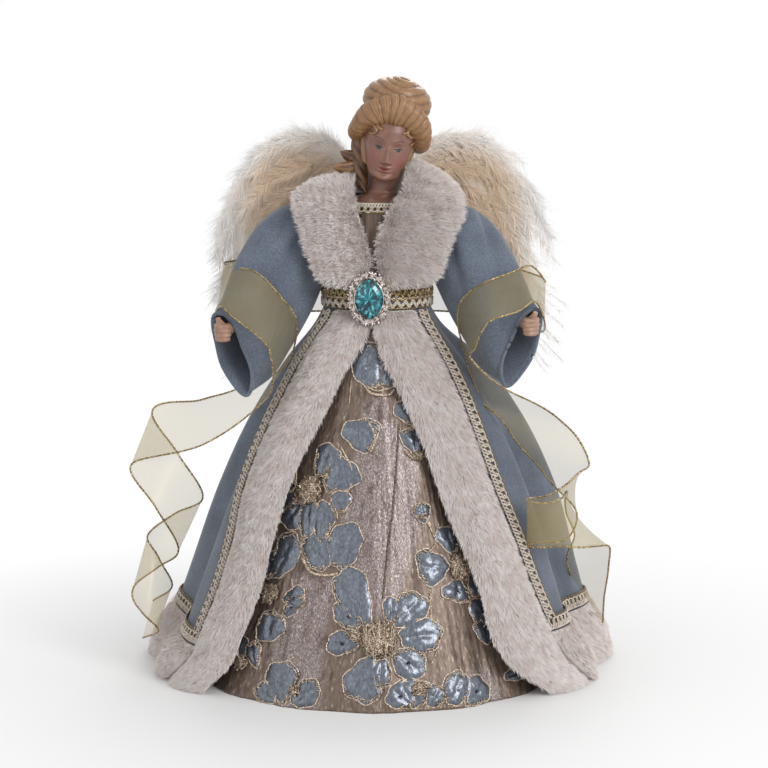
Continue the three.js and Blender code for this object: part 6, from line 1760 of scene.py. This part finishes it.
def spline(stations, samples):
    """Centripetal Catmull-Rom curve: between two stations the point blends lines whose knots stand
    apart by the square root of the distance, so it never loops over itself."""
    s = np.asarray(stations, float)
    s = np.vstack([2 * s[0] - s[1], s, 2 * s[-1] - s[-2]])
    rows = []
    for k in range(1, len(s) - 2):
        p = s[k - 1:k + 3]
        knot = np.concatenate([[0], np.cumsum(np.linalg.norm(np.diff(p[:, :3], axis=0), axis=1) ** 0.5)])
        last = k == len(s) - 3
        t = np.linspace(knot[1], knot[2], samples,
                        endpoint=False) if not last else np.linspace(knot[1], knot[2], samples + 1)
        t = t[:, None]

        def blend(a, b, i, j):
            return (a * (knot[j] - t) + b * (t - knot[i])) / (knot[j] - knot[i])

        a1, a2, a3 = blend(p[0], p[1], 0, 1), blend(p[1], p[2], 1, 2), blend(p[2], p[3], 2, 3)
        b1, b2 = blend(a1, a2, 0, 2), blend(a2, a3, 1, 3)
        rows.append(blend(b1, b2, 1, 2))
    return np.vstack(rows)


ribbon_rows, ribbon_columns = 420, 15
for side in ("left", "right"):
    sign = -1 if side == "left" else 1
    curve = spline(ribbon_stations[side], 24)
    run = run_along(curve[:, :3])
    even = np.linspace(0, run[-1], ribbon_rows)
    middle = np.stack([np.interp(even, run, curve[:, c]) for c in range(3)], -1)
    across = unit(np.stack([np.interp(even, run, curve[:, c]) for c in range(3, 6)], -1))
    way = unit(np.gradient(middle, axis=0))
    s = np.linspace(-1, 1, ribbon_columns)
    sway = (np.cross(way, across)[:, None]
            * (0.5 * ripple(even[:, None] * 0.08, s * 1.5, 131 + sign, 8, 0.6, 1.6))[..., None])
    grid = middle[:, None] + across[:, None] * (s * ribbon_width / 2)[None, :, None] + sway * 0.8
    strip = piece("organza_" + side, grid.reshape(-1, 3), lattice(ribbon_rows, ribbon_columns),
                  organza, None,
                  ["ribbon_" + side], "organza",
                  uv=grid_uv(ribbon_rows, ribbon_columns, ribbon_width * MM, run[-1] * MM))
    thicken(strip, 0.15, 0)
    rims = [tube(grid[:, edge], 0.62 + 0.14 * np.sin(np.arange(ribbon_rows) * 2.6), 6) for edge in (0, -1)]
    rim = piece("ribbon_wire_" + side, *stack(rims), gilt_thread, None, slot="gold_braid")
    tidy(rim)
    start, end = (sign * 0.03357, -0.1007, 0.06714), (sign * 0.04071, -0.1221, 0.08143)
    for part in (strip, rim):
        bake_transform(part)
